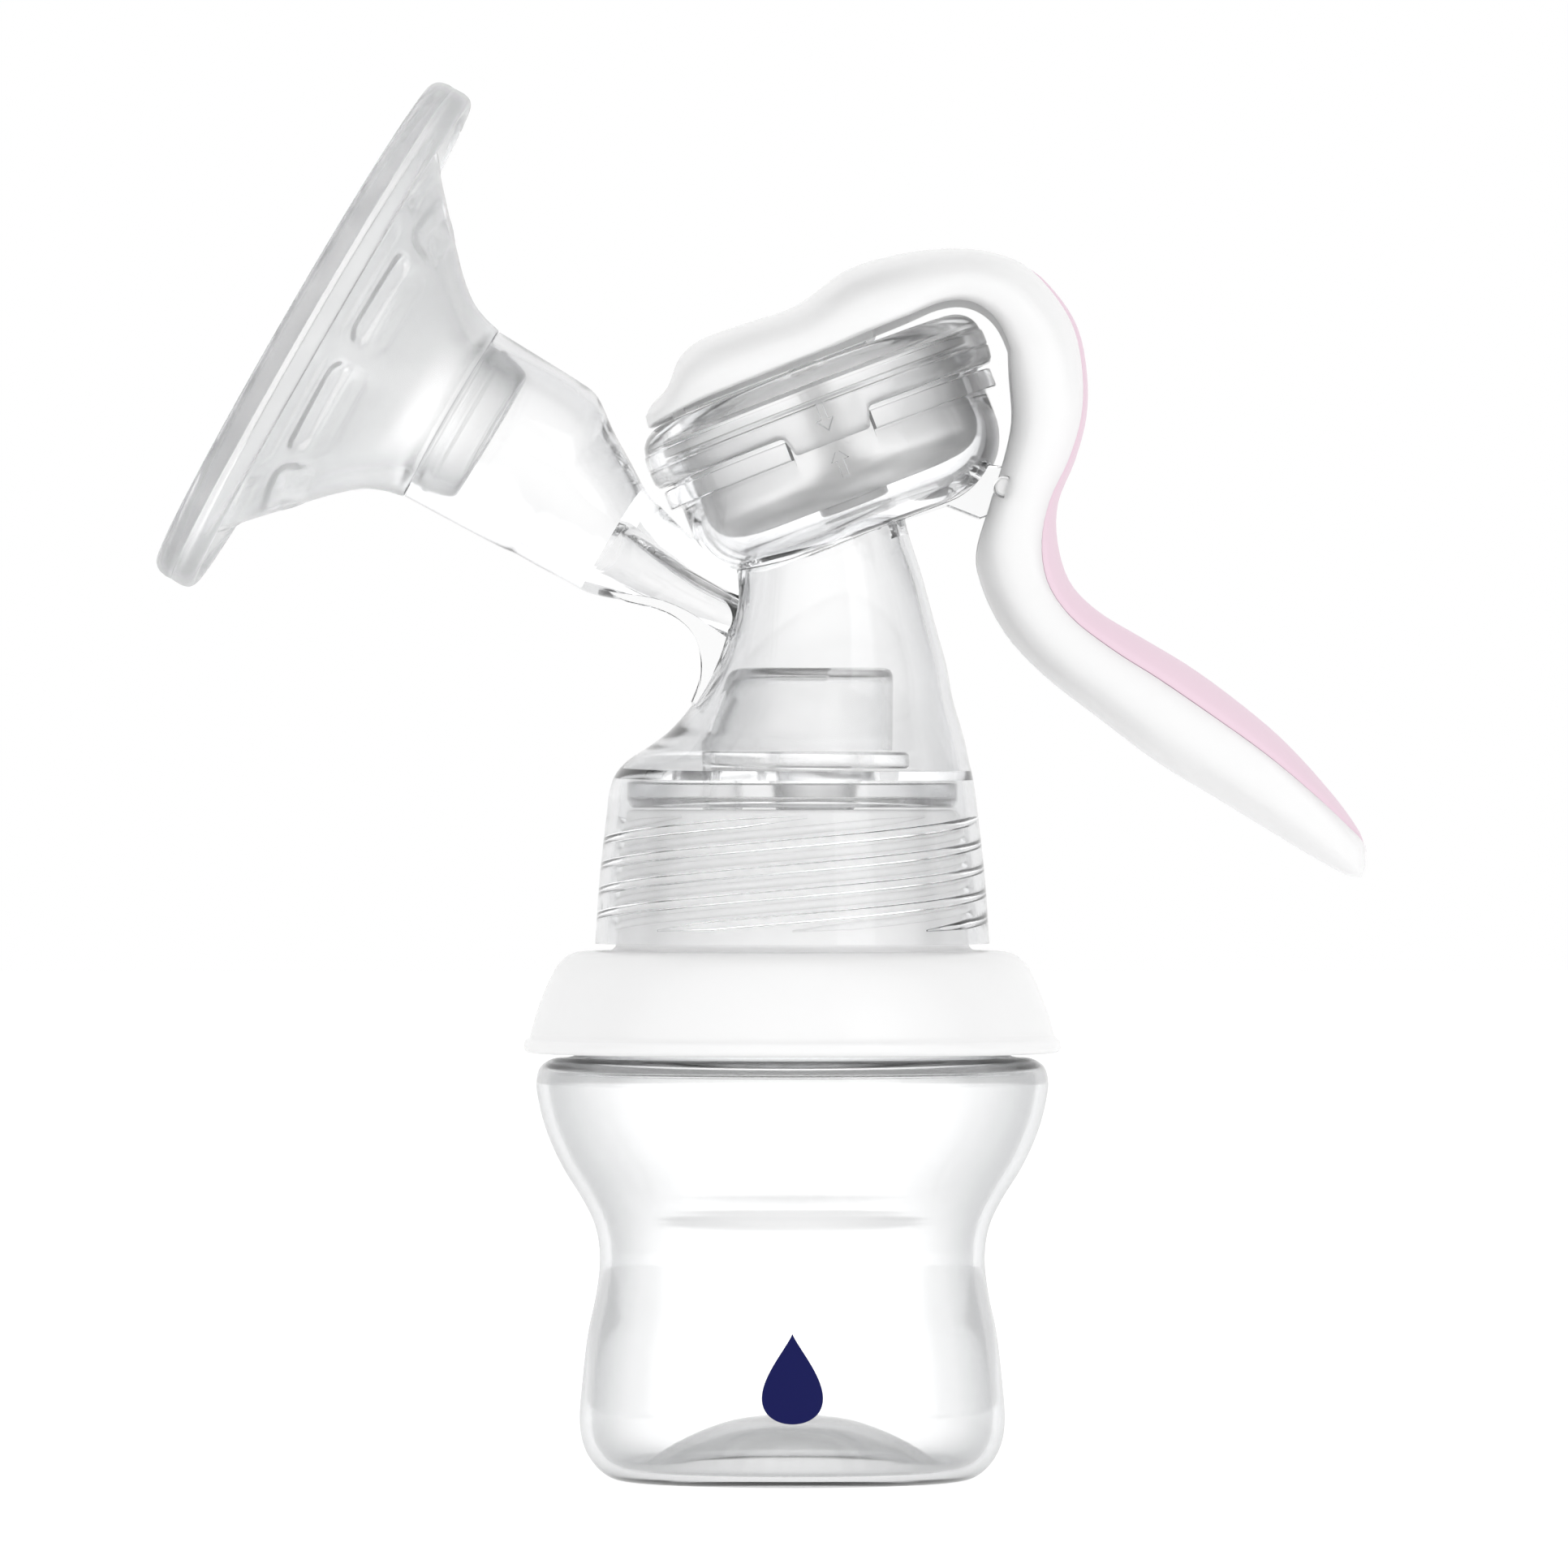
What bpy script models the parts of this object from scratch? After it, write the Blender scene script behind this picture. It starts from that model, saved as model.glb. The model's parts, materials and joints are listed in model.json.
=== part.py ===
"""Manual breast pump: a clear pump body on a baby bottle, worked by a hinged handle.

Lengths are written in millimetres and turned to metres by MM. Every shape is set out from
the bottle's own axis, and the empty pump_frame carries the whole pump to the middle of its
box: X runs towards the handle, -X towards the breast shield, Z is up and Z = 0 is the foot.
Three tilted frames are used: CUP (the diaphragm cup's axis), HORN (the shield's axis, running
down into the pump) and the handle's hinge, whose axis lies along Y.
"""

import math

import bmesh
import bpy
from mathutils import Matrix, Vector

MM = 0.001
SIDES = 24  # facets round a turned piece
SMALL_SIDES = 16  # facets round a small one
GAP = 0.3  # between pieces that touch

AXIS_X = 4.25  # the bottle's axis, from the middle of the whole pump's box

# bottle and adapter ring
BOTTLE_WALL = 1.6
NECK_R = 29.0
NECK_TOP = 69.6
RING_FOOT = 59.3
RING_TOP = 73.5
SCREW_NECK_TOP = 93.0

# pump body
SKIRT_FOOT = 74.5
BODY_WALL = 1.5
FLOOR_LOW = 96.9  # the partition that carries the valve
FLOOR_HIGH = 98.1

# diaphragm cup: its frame's origin lies on the cup's axis, inside the cap
CUP_AT = (3.83, 148.16)
CUP_TILT = -21.0
CUP_R = 22.6
CUP_INNER_R = 20.9
CUP_FLOOR = -18.0
CUP_LIP = 1.2
FLANGE_R = 24.2
FLANGE_LOW = -5.4
FLANGE_HIGH = -2.7
CAP_TOP = 6.1
KEY_ANGLE = 14.0  # half the angle of the cap's two locating tongues

# breast shield and horn tube
HORN_AT = (-69.19, 160.59)
HORN_TILT = 120.0
SHIELD_R = 39.3
TUBE_START = 25.5
BORE_END = 52.9

# handle, pull rod and hinge
HINGE_AT = (29.25, 137.6)
PIN_R = 1.25
PIN_HALF = 9.9
LUG_HALF = 6.0
SHELL_WALL = 1.8
ROD_R = 2.0
TEE_R = 1.3
TEE_HALF = 6.0
TEE_AT = 10.25  # the T-bar's axis, along the cup's axis
SLOT_LEFT = -15.5  # the T-bar's slot in the handle's head, in the cup's frame
SLOT_LOW = 8.2
SLOT_HIGH = 12.3
HEAD_UNDERSIDE = 6.7

# valve under the cone
VALVE_X = 1.85
VALVE_R = 14.35
DRAIN_X = -9.65
DRAIN_R = 2.75
BILL_X = 3.15
BILL_R = 6.75


def clear_scene():
    for obj in list(bpy.data.objects):
        bpy.data.objects.remove(obj, do_unlink=True)


def material(name, colour, roughness, metallic=0.0, alpha=1.0):
    made = bpy.data.materials.new(name)
    made.use_nodes = True
    shader = made.node_tree.nodes["Principled BSDF"]
    shader.inputs["Base Color"].default_value = (*colour, 1.0)
    shader.inputs["Roughness"].default_value = roughness
    shader.inputs["Metallic"].default_value = metallic
    shader.inputs["Alpha"].default_value = alpha
    made.diffuse_color = (*colour, alpha)
    return made


def tilted(at, degrees):
    """A frame whose Z lies in the pump's middle plane, turned from upright about Y."""
    x, z = at
    return Matrix.Translation(Vector((x, 0, z)) * MM) @ Matrix.Rotation(math.radians(degrees), 4, "Y")


def bridge(bm, low, high):
    """Faces between two rings of vertices; a ring of one vertex is a pole."""
    count = max(len(low), len(high))
    for i in range(count):
        j = (i + 1) % count
        if len(low) == 1:
            bm.faces.new((low[0], high[j], high[i]))
        elif len(high) == 1:
            bm.faces.new((low[i], low[j], high[0]))
        else:
            bm.faces.new((low[i], low[j], high[j], high[i]))


def turned(outline, sides=SIDES):
    """A turned solid from (radius, height) points: a closed loop, or a line from axis to axis."""
    bm = bmesh.new()
    rings = []
    for radius, height in outline:
        around = 1 if radius == 0 else sides
        turns = [math.tau * i / sides for i in range(around)]
        rings.append(
            [bm.verts.new((radius * MM * math.cos(a), radius * MM * math.sin(a), height * MM)) for a in turns]
        )
    pairs = list(zip(rings, rings[1:]))
    if outline[0][0] > 0:
        pairs.append((rings[-1], rings[0]))
    for low, high in pairs:
        bridge(bm, low, high)
    bmesh.ops.recalc_face_normals(bm, faces=bm.faces)
    return bm


def lofted(rings):
    """A solid through rings of points in millimetres, closed by a flat face at each end."""
    bm = bmesh.new()
    verts = [[bm.verts.new(Vector(point) * MM) for point in ring] for ring in rings]
    for low, high in zip(verts, verts[1:]):
        bridge(bm, low, high)
    bm.faces.new(verts[0])
    bm.faces.new(verts[-1])
    bmesh.ops.recalc_face_normals(bm, faces=bm.faces)
    return bm


def ellipse(centre, half_x, half_y, height, sides=SIDES):
    turns = [math.tau * i / sides for i in range(sides)]
    return [(centre + half_x * math.cos(a), half_y * math.sin(a), height) for a in turns]


def plate(outline, low_y, high_y):
    """An outline of (x, z) points in the middle plane, thick along Y."""
    return lofted([[(x, y, z) for x, z in outline] for y in (low_y, high_y)])


def rod_across(x, z, radius, half_length, sides=SMALL_SIDES):
    """A round bar along Y."""
    turns = [math.tau * i / sides for i in range(sides)]
    outline = [(x + radius * math.cos(a), z + radius * math.sin(a)) for a in turns]
    return plate(outline, -half_length, half_length)


def ring_sector(inner, outer, low, high, middle, half_angle, steps=6):
    """A curved block: part of a ring about Z, between two angles in degrees."""
    rings = []
    for i in range(steps + 1):
        a = math.radians(middle - half_angle + 2 * half_angle * i / steps)
        corners = ((inner, low), (outer, low), (outer, high), (inner, high))
        rings.append([(r * math.cos(a), r * math.sin(a), z) for r, z in corners])
    return lofted(rings)


def offset_line(line, distance):
    """The line moved sideways, towards its left as it runs."""
    moved = []
    for i, point in enumerate(line):
        before = Vector(line[max(i - 1, 0)])
        after = Vector(line[min(i + 1, len(line) - 1)])
        along = (after - before).normalized()
        radius = point[0] - along.y * distance if point[0] > 0 else 0
        moved.append((radius, point[1] + along.x * distance))
    return moved


def as_object(name, bm, place, finish=None, origin=None):
    """The piece as an object in the pump's frame; origin (x, z) puts its own origin on its joint."""
    if origin:
        at = Matrix.Translation(Vector((origin[0], 0, origin[1])) * MM)
        bmesh.ops.transform(bm, matrix=at.inverted() @ place, verts=bm.verts)
        place = at
    mesh = bpy.data.meshes.new(name)
    bm.to_mesh(mesh)
    bm.free()
    mesh.shade_smooth()
    mesh.set_sharp_from_angle(angle=math.radians(35))
    obj = bpy.data.objects.new(name, mesh)
    bpy.context.scene.collection.objects.link(obj)
    obj.parent = pump_frame
    obj.matrix_basis = place
    if finish:
        mesh.materials.append(finish)
    return obj


def combine(target, operation, bm, place):
    """Joins a helper shape to the target, or cuts it away, with an exact Boolean."""
    step = f"{target.name}_{operation.lower()}_{len(target.modifiers) + 1}"
    helper = as_object(step, bm, place)
    helper.hide_render = True
    helper.display_type = "WIRE"
    modifier = target.modifiers.new(step, "BOOLEAN")
    modifier.operation = operation
    modifier.solver = "EXACT"
    modifier.object = helper


def join(target, bm, place):
    combine(target, "UNION", bm, place)


def cut(target, bm, place):
    combine(target, "DIFFERENCE", bm, place)


def bottle():
    """Wide-neck bottle, blown with an even wall, a waist to hold it by and a pushed-up base."""
    outside = [
        (0, 7.9), (8, 6.9), (14, 4.5), (18, 1.7), (20.2, 0.3), (21.2, 0), (24, 0), (26.8, 1.4),
        (28.7, 4.1), (29.6, 8), (29.05, 14.1), (28.4, 20.8), (27.3, 26), (26.65, 31), (27.3, 35.4),
        (29.05, 38.8), (31.85, 43.3), (34.05, 47.8), (35.2, 52.3), (35.5, 55.2), (34.9, 57.4),
        (33, 58.6), (30.2, 58.9), (NECK_R, 60), (NECK_R, NECK_TOP),
    ]
    inside = offset_line(outside, BOTTLE_WALL)
    inside[-1] = (NECK_R - BOTTLE_WALL, NECK_TOP)
    inside[-2] = (NECK_R - BOTTLE_WALL, 59.6)
    return as_object("bottle", turned(outside + inside[::-1]), Matrix(), clear_plastic)


def bottle_seal():
    outline = [(26.6, NECK_TOP + GAP), (29.8, NECK_TOP + GAP), (29.8, 71.0), (26.6, 71.0)]
    return as_object("bottle_seal", turned(outline), Matrix(), silicone)


def adapter_ring():
    """White collar that clamps the bottle, with the tapered screw neck that the pump turns onto."""
    outline = [
        (30.9, RING_FOOT), (36.4, RING_FOOT), (37.2, 59.9), (37.2, 60.9), (36.2, 61.6), (35.8, 63.6),
        (35.15, 65.8), (34.25, 68.1), (33.2, 70.4), (32, 72.2), (30.4, 73.2), (28, RING_TOP),
        (25.4, RING_TOP), (24.4, 74.4), (23.0, 92.4), (22.3, SCREW_NECK_TOP), (20.9, SCREW_NECK_TOP),
        (21.8, 74), (21.8, 71.3), (30.4, 71.3), (30.4, 59.8),
    ]
    return as_object("adapter_ring", turned(outline), Matrix(), white_plastic)


def skirt_seal():
    outline = [(20.6, 93.3), (22.4, 93.3), (22.9, 94.2), (22.9, 96.6), (20.2, 96.6), (20.2, 94.2)]
    return as_object("skirt_seal", turned(outline), Matrix(), silicone)


def cone_rings(wall, low, high):
    """Skirt, shoulder and cone: circles whose middle moves towards the handle as they rise."""
    stations = [
        (SKIRT_FOOT, 0, 27.35), (83.8, 0, 26.7), (92.8, 0, 25.7), (97.3, 0.1, 24.9), (99.6, 0.6, 24.1),
        (101.8, 2.1, 22), (104.1, 3.3, 20.2), (108.6, 4.5, 17.7), (113, 5.2, 16.2), (118, 5.3, 14.7),
        (125.4, 5, 13), (133, 4.3, 11.4), (137, 4.3, 11.2),
    ]
    rings = [(z, x, r - wall) for z, x, r in stations]
    rings[0] = (low, *rings[0][1:])
    rings[-1] = (high, *rings[-1][1:])
    return [ellipse(x, r, r, z) for z, x, r in rings]


def cup_solid():
    corner = [(13.5 + 9 * math.sin(a), -9 - 9 * math.cos(a)) for a in (0, 0.4, 0.8, 1.2, 1.5)]
    outline = [
        (0, CUP_FLOOR), *corner, (CUP_R, FLANGE_LOW), (FLANGE_R, FLANGE_LOW), (FLANGE_R, FLANGE_HIGH),
        (CUP_R, FLANGE_HIGH), (CUP_R, CUP_LIP), (0, CUP_LIP),
    ]
    return turned(outline)


def cup_hollow():
    corner = [(13.1 + 7.6 * math.sin(a), -8.7 - 7.6 * math.cos(a)) for a in (0, 0.4, 0.8, 1.2, 1.5)]
    return turned([(0, -16.3), *corner, (CUP_INNER_R, -8), (CUP_INNER_R, 3), (0, 3)])


def horn_rings(stations):
    """Ellipses along the horn: (distance, drop below the axis, half height, half width)."""
    return [ellipse(drop, half_high, half_wide, at) for at, drop, half_high, half_wide in stations]


def pump_body():
    """One clear moulding: screw skirt, cone, diaphragm cup, horn tube, milk channel and hinge lug."""
    body = as_object("pump_body", lofted(cone_rings(0, SKIRT_FOOT, 137)), Matrix(), clear_plastic)
    horn = [
        (TUBE_START, 0, 13.15, 13.15), (41, 0, 12.55, 12.55), (42.6, 0.35, 12, 12.4),
        (45.8, 1.5, 10.8, 11.9), (50.3, 2.8, 9.35, 10.9), (54.2, 3.9, 8.1, 9.4), (57.6, 3.9, 7.05, 7.9),
        (62.6, 3.7, 5.6, 6.4), (67, 3.6, 5.2, 5.8), (75, 4.2, 5.2, 5.6),
    ]
    join(body, lofted(horn_rings(horn)), HORN)
    saddle = [
        (-26, 123.6), (-23.3, 122.1), (-19.5, 121.2), (-16.2, 119.8), (-13.8, 117.6), (-12.6, 114.4),
        (-12.7, 110.8), (-13.9, 107.6), (-9, 105), (-5, 112), (-5, 124), (-14, 127),
    ]
    join(body, plate(saddle, -4, 4), Matrix())
    lug = [
        (17, 139), (25.8, 140.9), (29.3, 140.2), (31.2, 139.3), (31.9, 137.5), (31, 135.6),
        (29, 134.9), (25.9, 133.3), (21.3, 135.1), (15, 133),
    ]
    join(body, plate(lug, -LUG_HALF, LUG_HALF), Matrix())
    cut(body, lofted(cone_rings(BODY_WALL, SKIRT_FOOT - 1, 139)), Matrix())
    join(body, turned([(0, FLOOR_LOW), (24, FLOOR_LOW), (24, FLOOR_HIGH), (0, FLOOR_HIGH)]), Matrix())
    join(body, cup_solid(), CUP)
    cut(body, cup_hollow(), CUP)
    bore = [
        (TUBE_START - 1, 0, 11.45, 11.45), (41.5, 0, 10.9, 10.9), (45.8, 1.6, 9.2, 10.2),
        (50.3, 2.8, 7.7, 9.2), (BORE_END, 3.5, 6.8, 8.3),
    ]
    cut(body, lofted(horn_rings(bore)), HORN)
    channel = [(BORE_END - 1, 5.2, 3.2, 3.2), (64, 5, 2.4, 2.4), (78, 4.7, 2, 2)]
    cut(body, lofted(horn_rings(channel)), HORN)
    air_hole = [(0, -20), (5, -20), (5, -15), (0, -15)]
    cut(body, turned(air_hole, SMALL_SIDES), CUP)
    for x, radius in ((DRAIN_X, DRAIN_R), (BILL_X, BILL_R)):
        hole = [ellipse(x, radius + GAP, radius + GAP, z, SMALL_SIDES) for z in (FLOOR_LOW - 2, FLOOR_HIGH + 2)]
        cut(body, lofted(hole), Matrix())
    cut(body, rod_across(*HINGE_AT, PIN_R + GAP, LUG_HALF + 1), Matrix())
    for middle in (-90, 90):
        notch = ring_sector(CUP_R - 0.1, FLANGE_R + 1, FLANGE_LOW - 1, FLANGE_HIGH + 1, middle, KEY_ANGLE + 1)
        cut(body, notch, CUP)
    return body


def shield_cushion():
    """Silicone breast shield: rolled rim, funnel and the sleeve that plugs into the horn tube."""
    outline = [
        (30.6, 5.3), (27.5, 7.8), (24.1, 10.9), (20.7, 14), (17.4, 17.2), (15.1, 20), (14, 22.4),
        (13.3, 25.1), (10.9, 25.1), (10.8, 28.4), (9.8, 31.5), (8.7, 31.5), (9, 27.5), (9.8, 24.2),
        (11.3, 21), (13.8, 17.4), (17.8, 13.2), (22.2, 9.2), (26.5, 5.6), (30.5, 3), (34.2, 1.2),
        (37, 0.1), (38.3, 0.2), (39.1, 1.2), (SHIELD_R, 2.8), (SHIELD_R, 4.8), (38.9, 6), (37.9, 6.4),
        (37.1, 5.8), (36.8, 4), (35, 3.4), (32.4, 3.9),
    ]
    return as_object("shield_cushion", turned(outline), HORN, silicone)


def valve_baffle():
    """Hood over the valve: its left side leans in, in line with the cone's wall."""
    def hood(shrink, low, high):
        return [ellipse(x, r - shrink, r - shrink, z, SMALL_SIDES) for z, x, r in (
            (low, 0.75, 13.2), (102.2, 0.75, 13.2), (high - 1, 2.45, 11.5), (high, 2.7, 10.4)
        )]
    baffle = as_object("valve_baffle", lofted(hood(0, 100.9, 112.5)), Matrix(), valve_rubber)
    cut(baffle, lofted(hood(1.2, 99.9, 111.3)), Matrix())
    window = [(-14, 104), (-14, 109), (0, 109), (0, 104)]
    cut(baffle, plate(window, -3, 3), Matrix())
    return baffle


def valve_seat():
    """Disc that lies on the body's partition, with the milk's drain tube through it."""
    seat = as_object(
        "valve_seat", lofted([ellipse(VALVE_X, VALVE_R, VALVE_R, z) for z in (98.4, 100.6)]), Matrix(), valve_rubber
    )
    drain = [ellipse(DRAIN_X, DRAIN_R, DRAIN_R, z, SMALL_SIDES) for z in (89, 99)]
    join(seat, lofted(drain), Matrix())
    bore = [ellipse(DRAIN_X, DRAIN_R - 0.9, DRAIN_R - 0.9, z, SMALL_SIDES) for z in (88, 102)]
    cut(seat, lofted(bore), Matrix())
    bill_hole = [ellipse(BILL_X, BILL_R - 1.2, BILL_R - 1.2, z, SMALL_SIDES) for z in (97, 102)]
    cut(seat, lofted(bill_hole), Matrix())
    return seat


def valve_duckbill():
    """Tapered silicone cup whose lips open downwards, shown closed to a narrow slit."""
    rings = ((98.1, BILL_R, BILL_R), (93.4, 5.5, 5.5), (89.5, 4.6, 3.2), (88.2, 4.3, 1.6))
    bill = as_object(
        "valve_duckbill", lofted([ellipse(BILL_X, rx, ry, z, SMALL_SIDES) for z, rx, ry in rings]), Matrix(), silicone
    )
    hollow = ((99, BILL_R - 1, BILL_R - 1), (93.6, 4.5, 4.5), (89.8, 3.6, 2.2), (87.5, 3.2, 0.4))
    cut(bill, lofted([ellipse(BILL_X, rx, ry, z, SMALL_SIDES) for z, rx, ry in hollow]), Matrix())
    return bill


def diaphragm():
    """Silicone bowl: its rim is clamped by the cap and its floor is pulled up by the rod."""
    outline = [
        (22.3, 1.5), (22.3, 3.2), (19, 3.2), (18.8, -8.3), (17.2, -10.9), (14.8, -11.8), (2.6, -11.8),
        (2.6, -13), (15, -13), (18.1, -12), (19.9, -8.7), (20.2, 1.5),
    ]
    return as_object("diaphragm", turned(outline), CUP, silicone)


def rod_plate():
    outline = [(2.3, -11.5), (9, -11.5), (9, -10.5), (7.5, -9.9), (4, -9.9), (3.4, -8), (2.3, -8)]
    return as_object("rod_plate", turned(outline, SMALL_SIDES), CUP, white_plastic, ROD_AT)


def pull_rod():
    """Rod with a foot under the diaphragm and a T-bar hooked in the handle's slot."""
    outline = [
        (0, -14.9), (5, -14.9), (5, -13.3), (ROD_R, -13.3), (ROD_R, TEE_AT), (0, TEE_AT + 0.6)
    ]
    rod = as_object("pull_rod", turned(outline, SMALL_SIDES), CUP, white_plastic, ROD_AT)
    join(rod, rod_across(0, TEE_AT, TEE_R, TEE_HALF), CUP)
    return rod


def cap_ring():
    """Clear cap that snaps over the cup and clamps the diaphragm; two tongues key it in place."""
    outline = [
        (23.3, -2.1), (24.4, -2.1), (25.05, -1.2), (25.15, 0.8), (24.9, 2.7), (23.9, 4.4), (22.4, 5.6),
        (20.5, CAP_TOP), (17, CAP_TOP), (17, 4.6), (18.4, 3.5), (22.9, 3.5), (23.3, 3),
    ]
    cap = as_object("cap_ring", turned(outline), CUP, clear_plastic)
    for middle in (-90, 90):
        join(cap, ring_sector(23.6, 24.8, -5, -0.5, middle, KEY_ANGLE), CUP)
    return cap


def handle_stations():
    """(inner x, z), (outer x, z), half width and the level of the widest part, from head to grip."""
    rows = [
        (-19.9, 146, -20.3, 147.5, 6, 0.2), (-19.1, 146.1, -19.5, 149.1, 12.5, 0.18),
        (-16.4, 147.3, -17.3, 151.5, 18, 0.15), (-12.1, 149.1, -15.5, 155.8, 21.5, 0.13),
        (-7.4, 150.9, -12.5, 158.2, 23.5, 0.12), (-1.8, 153.1, -6.5, 160.4, 24.5, 0.12),
        (4.4, 155.6, 0.5, 162.8, 24.5, 0.12), (10.6, 158.1, 7.2, 167.6, 24, 0.13),
        (16.2, 160.3, 14, 169.8, 22.5, 0.15), (20.1, 161.9, 20.7, 170.7, 20.5, 0.2),
        (23, 162.2, 26.9, 170.4, 18.5, 0.26), (25.2, 161.3, 32.2, 168.5, 16.8, 0.32),
        (26.9, 159.4, 36.3, 164.8, 15.4, 0.38), (28.1, 156.1, 39.5, 159.8, 14.2, 0.43),
        (29.1, 151.9, 40.8, 153.3, 13.2, 0.47), (29.5, 146.8, 40.7, 147.4, 12.4, 0.5),
        (28.7, 141.8, 39.2, 141.6, 11.8, 0.5), (26.8, 135.9, 36.8, 135.6, 11.2, 0.5),
        (25.3, 129.9, 36.7, 130.2, 10.8, 0.5), (26.1, 124.3, 38.3, 124.8, 10.6, 0.5),
        (29.3, 117.7, 42.1, 120.7, 10.8, 0.5), (34.8, 111.7, 48.3, 116.9, 11.2, 0.5),
        (41.7, 106.3, 54.5, 113.2, 11.8, 0.5), (50.6, 99.6, 60.9, 108.6, 12.2, 0.5),
        (59, 94.5, 67.4, 103.2, 11.6, 0.5), (66.8, 89.7, 73, 97.3, 10.4, 0.5),
        (73, 86, 77.3, 91.9, 8.6, 0.5), (77, 83.9, 79.4, 88.1, 6, 0.5), (78.8, 83.6, 79.4, 85.4, 3, 0.5),
    ]
    return [(Vector((xi, 0, zi)), Vector((xo, 0, zo)), half, belly) for xi, zi, xo, zo, half, belly in rows]


def handle_point(inner, outer, half, belly, turn, squareness=2.5):
    """A point on the handle's round-cornered cross-section; a quarter turn is its outer side."""
    across = math.copysign(abs(math.cos(turn)) ** (2 / squareness), math.cos(turn))
    height = abs(math.sin(turn)) ** (2 / squareness)
    level = belly + (1 - belly) * height if math.sin(turn) >= 0 else belly * (1 - height)
    return inner.lerp(outer, level) + Vector((0, half * across, 0))


def handle_section(inner, outer, half, belly, sides=20, squareness=2.5):
    turns = [math.tau * i / sides for i in range(sides)]
    return [handle_point(inner, outer, half, belly, turn, squareness) for turn in turns]


def handle_hollow():
    """The channel in the head and neck: open on the inner side, narrow at the hinge."""
    rings = []
    narrow = {14: 9.5, 15: 8.4, 16: 7.4, 17: 7.1, 18: 7.1}
    for i, (inner, outer, half, belly) in enumerate(handle_stations()[2:19], 2):
        along = (outer - inner).normalized()
        roof = SHELL_WALL if i < 11 else 3.2
        room = narrow.get(i, half - SHELL_WALL)
        rings.append(handle_section(inner - along, outer - along * roof, room, belly, 12, 5))
    return lofted(rings)


def inlay_rings(depth, lift, spread):
    """The grip inlay's strip over the outer side: its edge lies at a level that changes along the grip."""
    edges = {
        12: 0.93, 13: 0.9, 14: 0.88, 15: 0.88, 16: 0.87, 17: 0.84, 18: 0.79, 19: 0.74, 20: 0.71, 21: 0.7,
        22: 0.71, 23: 0.74, 24: 0.78, 25: 0.84, 26: 0.9,
    }
    rings = []
    stations = handle_stations()
    for i, edge in edges.items():
        inner, outer, half, belly = stations[i]
        along = (outer - inner).normalized()
        start = math.asin(((edge - spread - belly) / (1 - belly)) ** 1.25)
        turns = [start + (math.pi - 2 * start) * j / 8 for j in range(9)]
        over = [handle_point(inner, outer + along * lift, half + lift, belly, turn) for turn in turns]
        under = [handle_point(inner, outer - along * depth, half - depth, belly, turn) for turn in turns]
        rings.append(over + under[::-1])
    return lofted(rings)


def handle_shell():
    """White handle: domed head over the cap, neck with the hinge cheeks, and the grip."""
    rings = [handle_section(*station) for station in handle_stations()]
    shell = as_object("handle_shell", lofted(rings), Matrix(), white_plastic, HINGE_AT)
    cut(shell, handle_hollow(), Matrix())
    guide = [
        (-17.6, HEAD_UNDERSIDE), (-17, 9.4), (-15.6, 12.3), (-11, 13.8), (2, 13.6), (11, 15),
        (11, HEAD_UNDERSIDE),
    ]
    join(shell, plate(guide, -9, 9), CUP)
    tee_slot = [(SLOT_LEFT, SLOT_LOW), (SLOT_LEFT, SLOT_HIGH), (9.5, SLOT_HIGH), (9.5, SLOT_LOW)]
    cut(shell, plate(tee_slot, -TEE_HALF - 0.6, TEE_HALF + 0.6), CUP)
    neck_slot = [(SLOT_LEFT, 5), (SLOT_LEFT, 9), (6, 9), (6, 5)]
    cut(shell, plate(neck_slot, -ROD_R - 0.5, ROD_R + 0.5), CUP)
    key_hole = [(3, 5), (3, 9), (9.5, 9), (9.5, 5)]
    cut(shell, plate(key_hole, -TEE_HALF - 0.6, TEE_HALF + 0.6), CUP)
    cut(shell, inlay_rings(1.3, 1.5, 0.02), Matrix())
    cut(shell, rod_across(*HINGE_AT, PIN_R + GAP, PIN_HALF + GAP), Matrix())
    return shell


def handle_inlay():
    return as_object("handle_inlay", inlay_rings(0.95, 0, 0), Matrix(), pink_soft, HINGE_AT)


def hinge_pin():
    return as_object("hinge_pin", rod_across(*HINGE_AT, PIN_R, PIN_HALF), Matrix(), white_plastic, HINGE_AT)


clear_scene()
clear_plastic = material("clear_polypropylene", (0.86, 0.88, 0.9), 0.08, alpha=0.35)
white_plastic = material("white_polypropylene", (0.9, 0.9, 0.9), 0.25)
silicone = material("clear_silicone", (0.84, 0.85, 0.86), 0.35, alpha=0.5)
valve_rubber = material("valve_silicone", (0.78, 0.79, 0.8), 0.4, alpha=0.6)
pink_soft = material("pink_soft_grip", (0.87, 0.66, 0.78), 0.5)

pump_frame = bpy.data.objects.new("pump_frame", None)
bpy.context.scene.collection.objects.link(pump_frame)
pump_frame.location = (AXIS_X * MM, 0, 0)
CUP = tilted(CUP_AT, CUP_TILT)
HORN = tilted(HORN_AT, HORN_TILT)
ROD_AT = CUP_AT

bottle()
bottle_seal()
adapter_ring()
skirt_seal()
pump_body()
shield_cushion()
valve_baffle()
valve_seat()
valve_duckbill()
diaphragm()
rod_plate()
pull_rod()
cap_ring()
handle_shell()
handle_inlay()
hinge_pin()
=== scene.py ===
"""Looks of the manual breast pump, piece by piece, as it is put together from the bottle up.

Outlines are in millimetres about the bottle's own axis, as (radius, height) or (x, z) points.
Two tilted frames lie in the pump's middle plane: CUP, along the diaphragm's axis, and HORN, along
the breast shield's axis.
"""

import json
import math

import bmesh
import bpy
import numpy as np
from mathutils import Matrix, Vector


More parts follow.
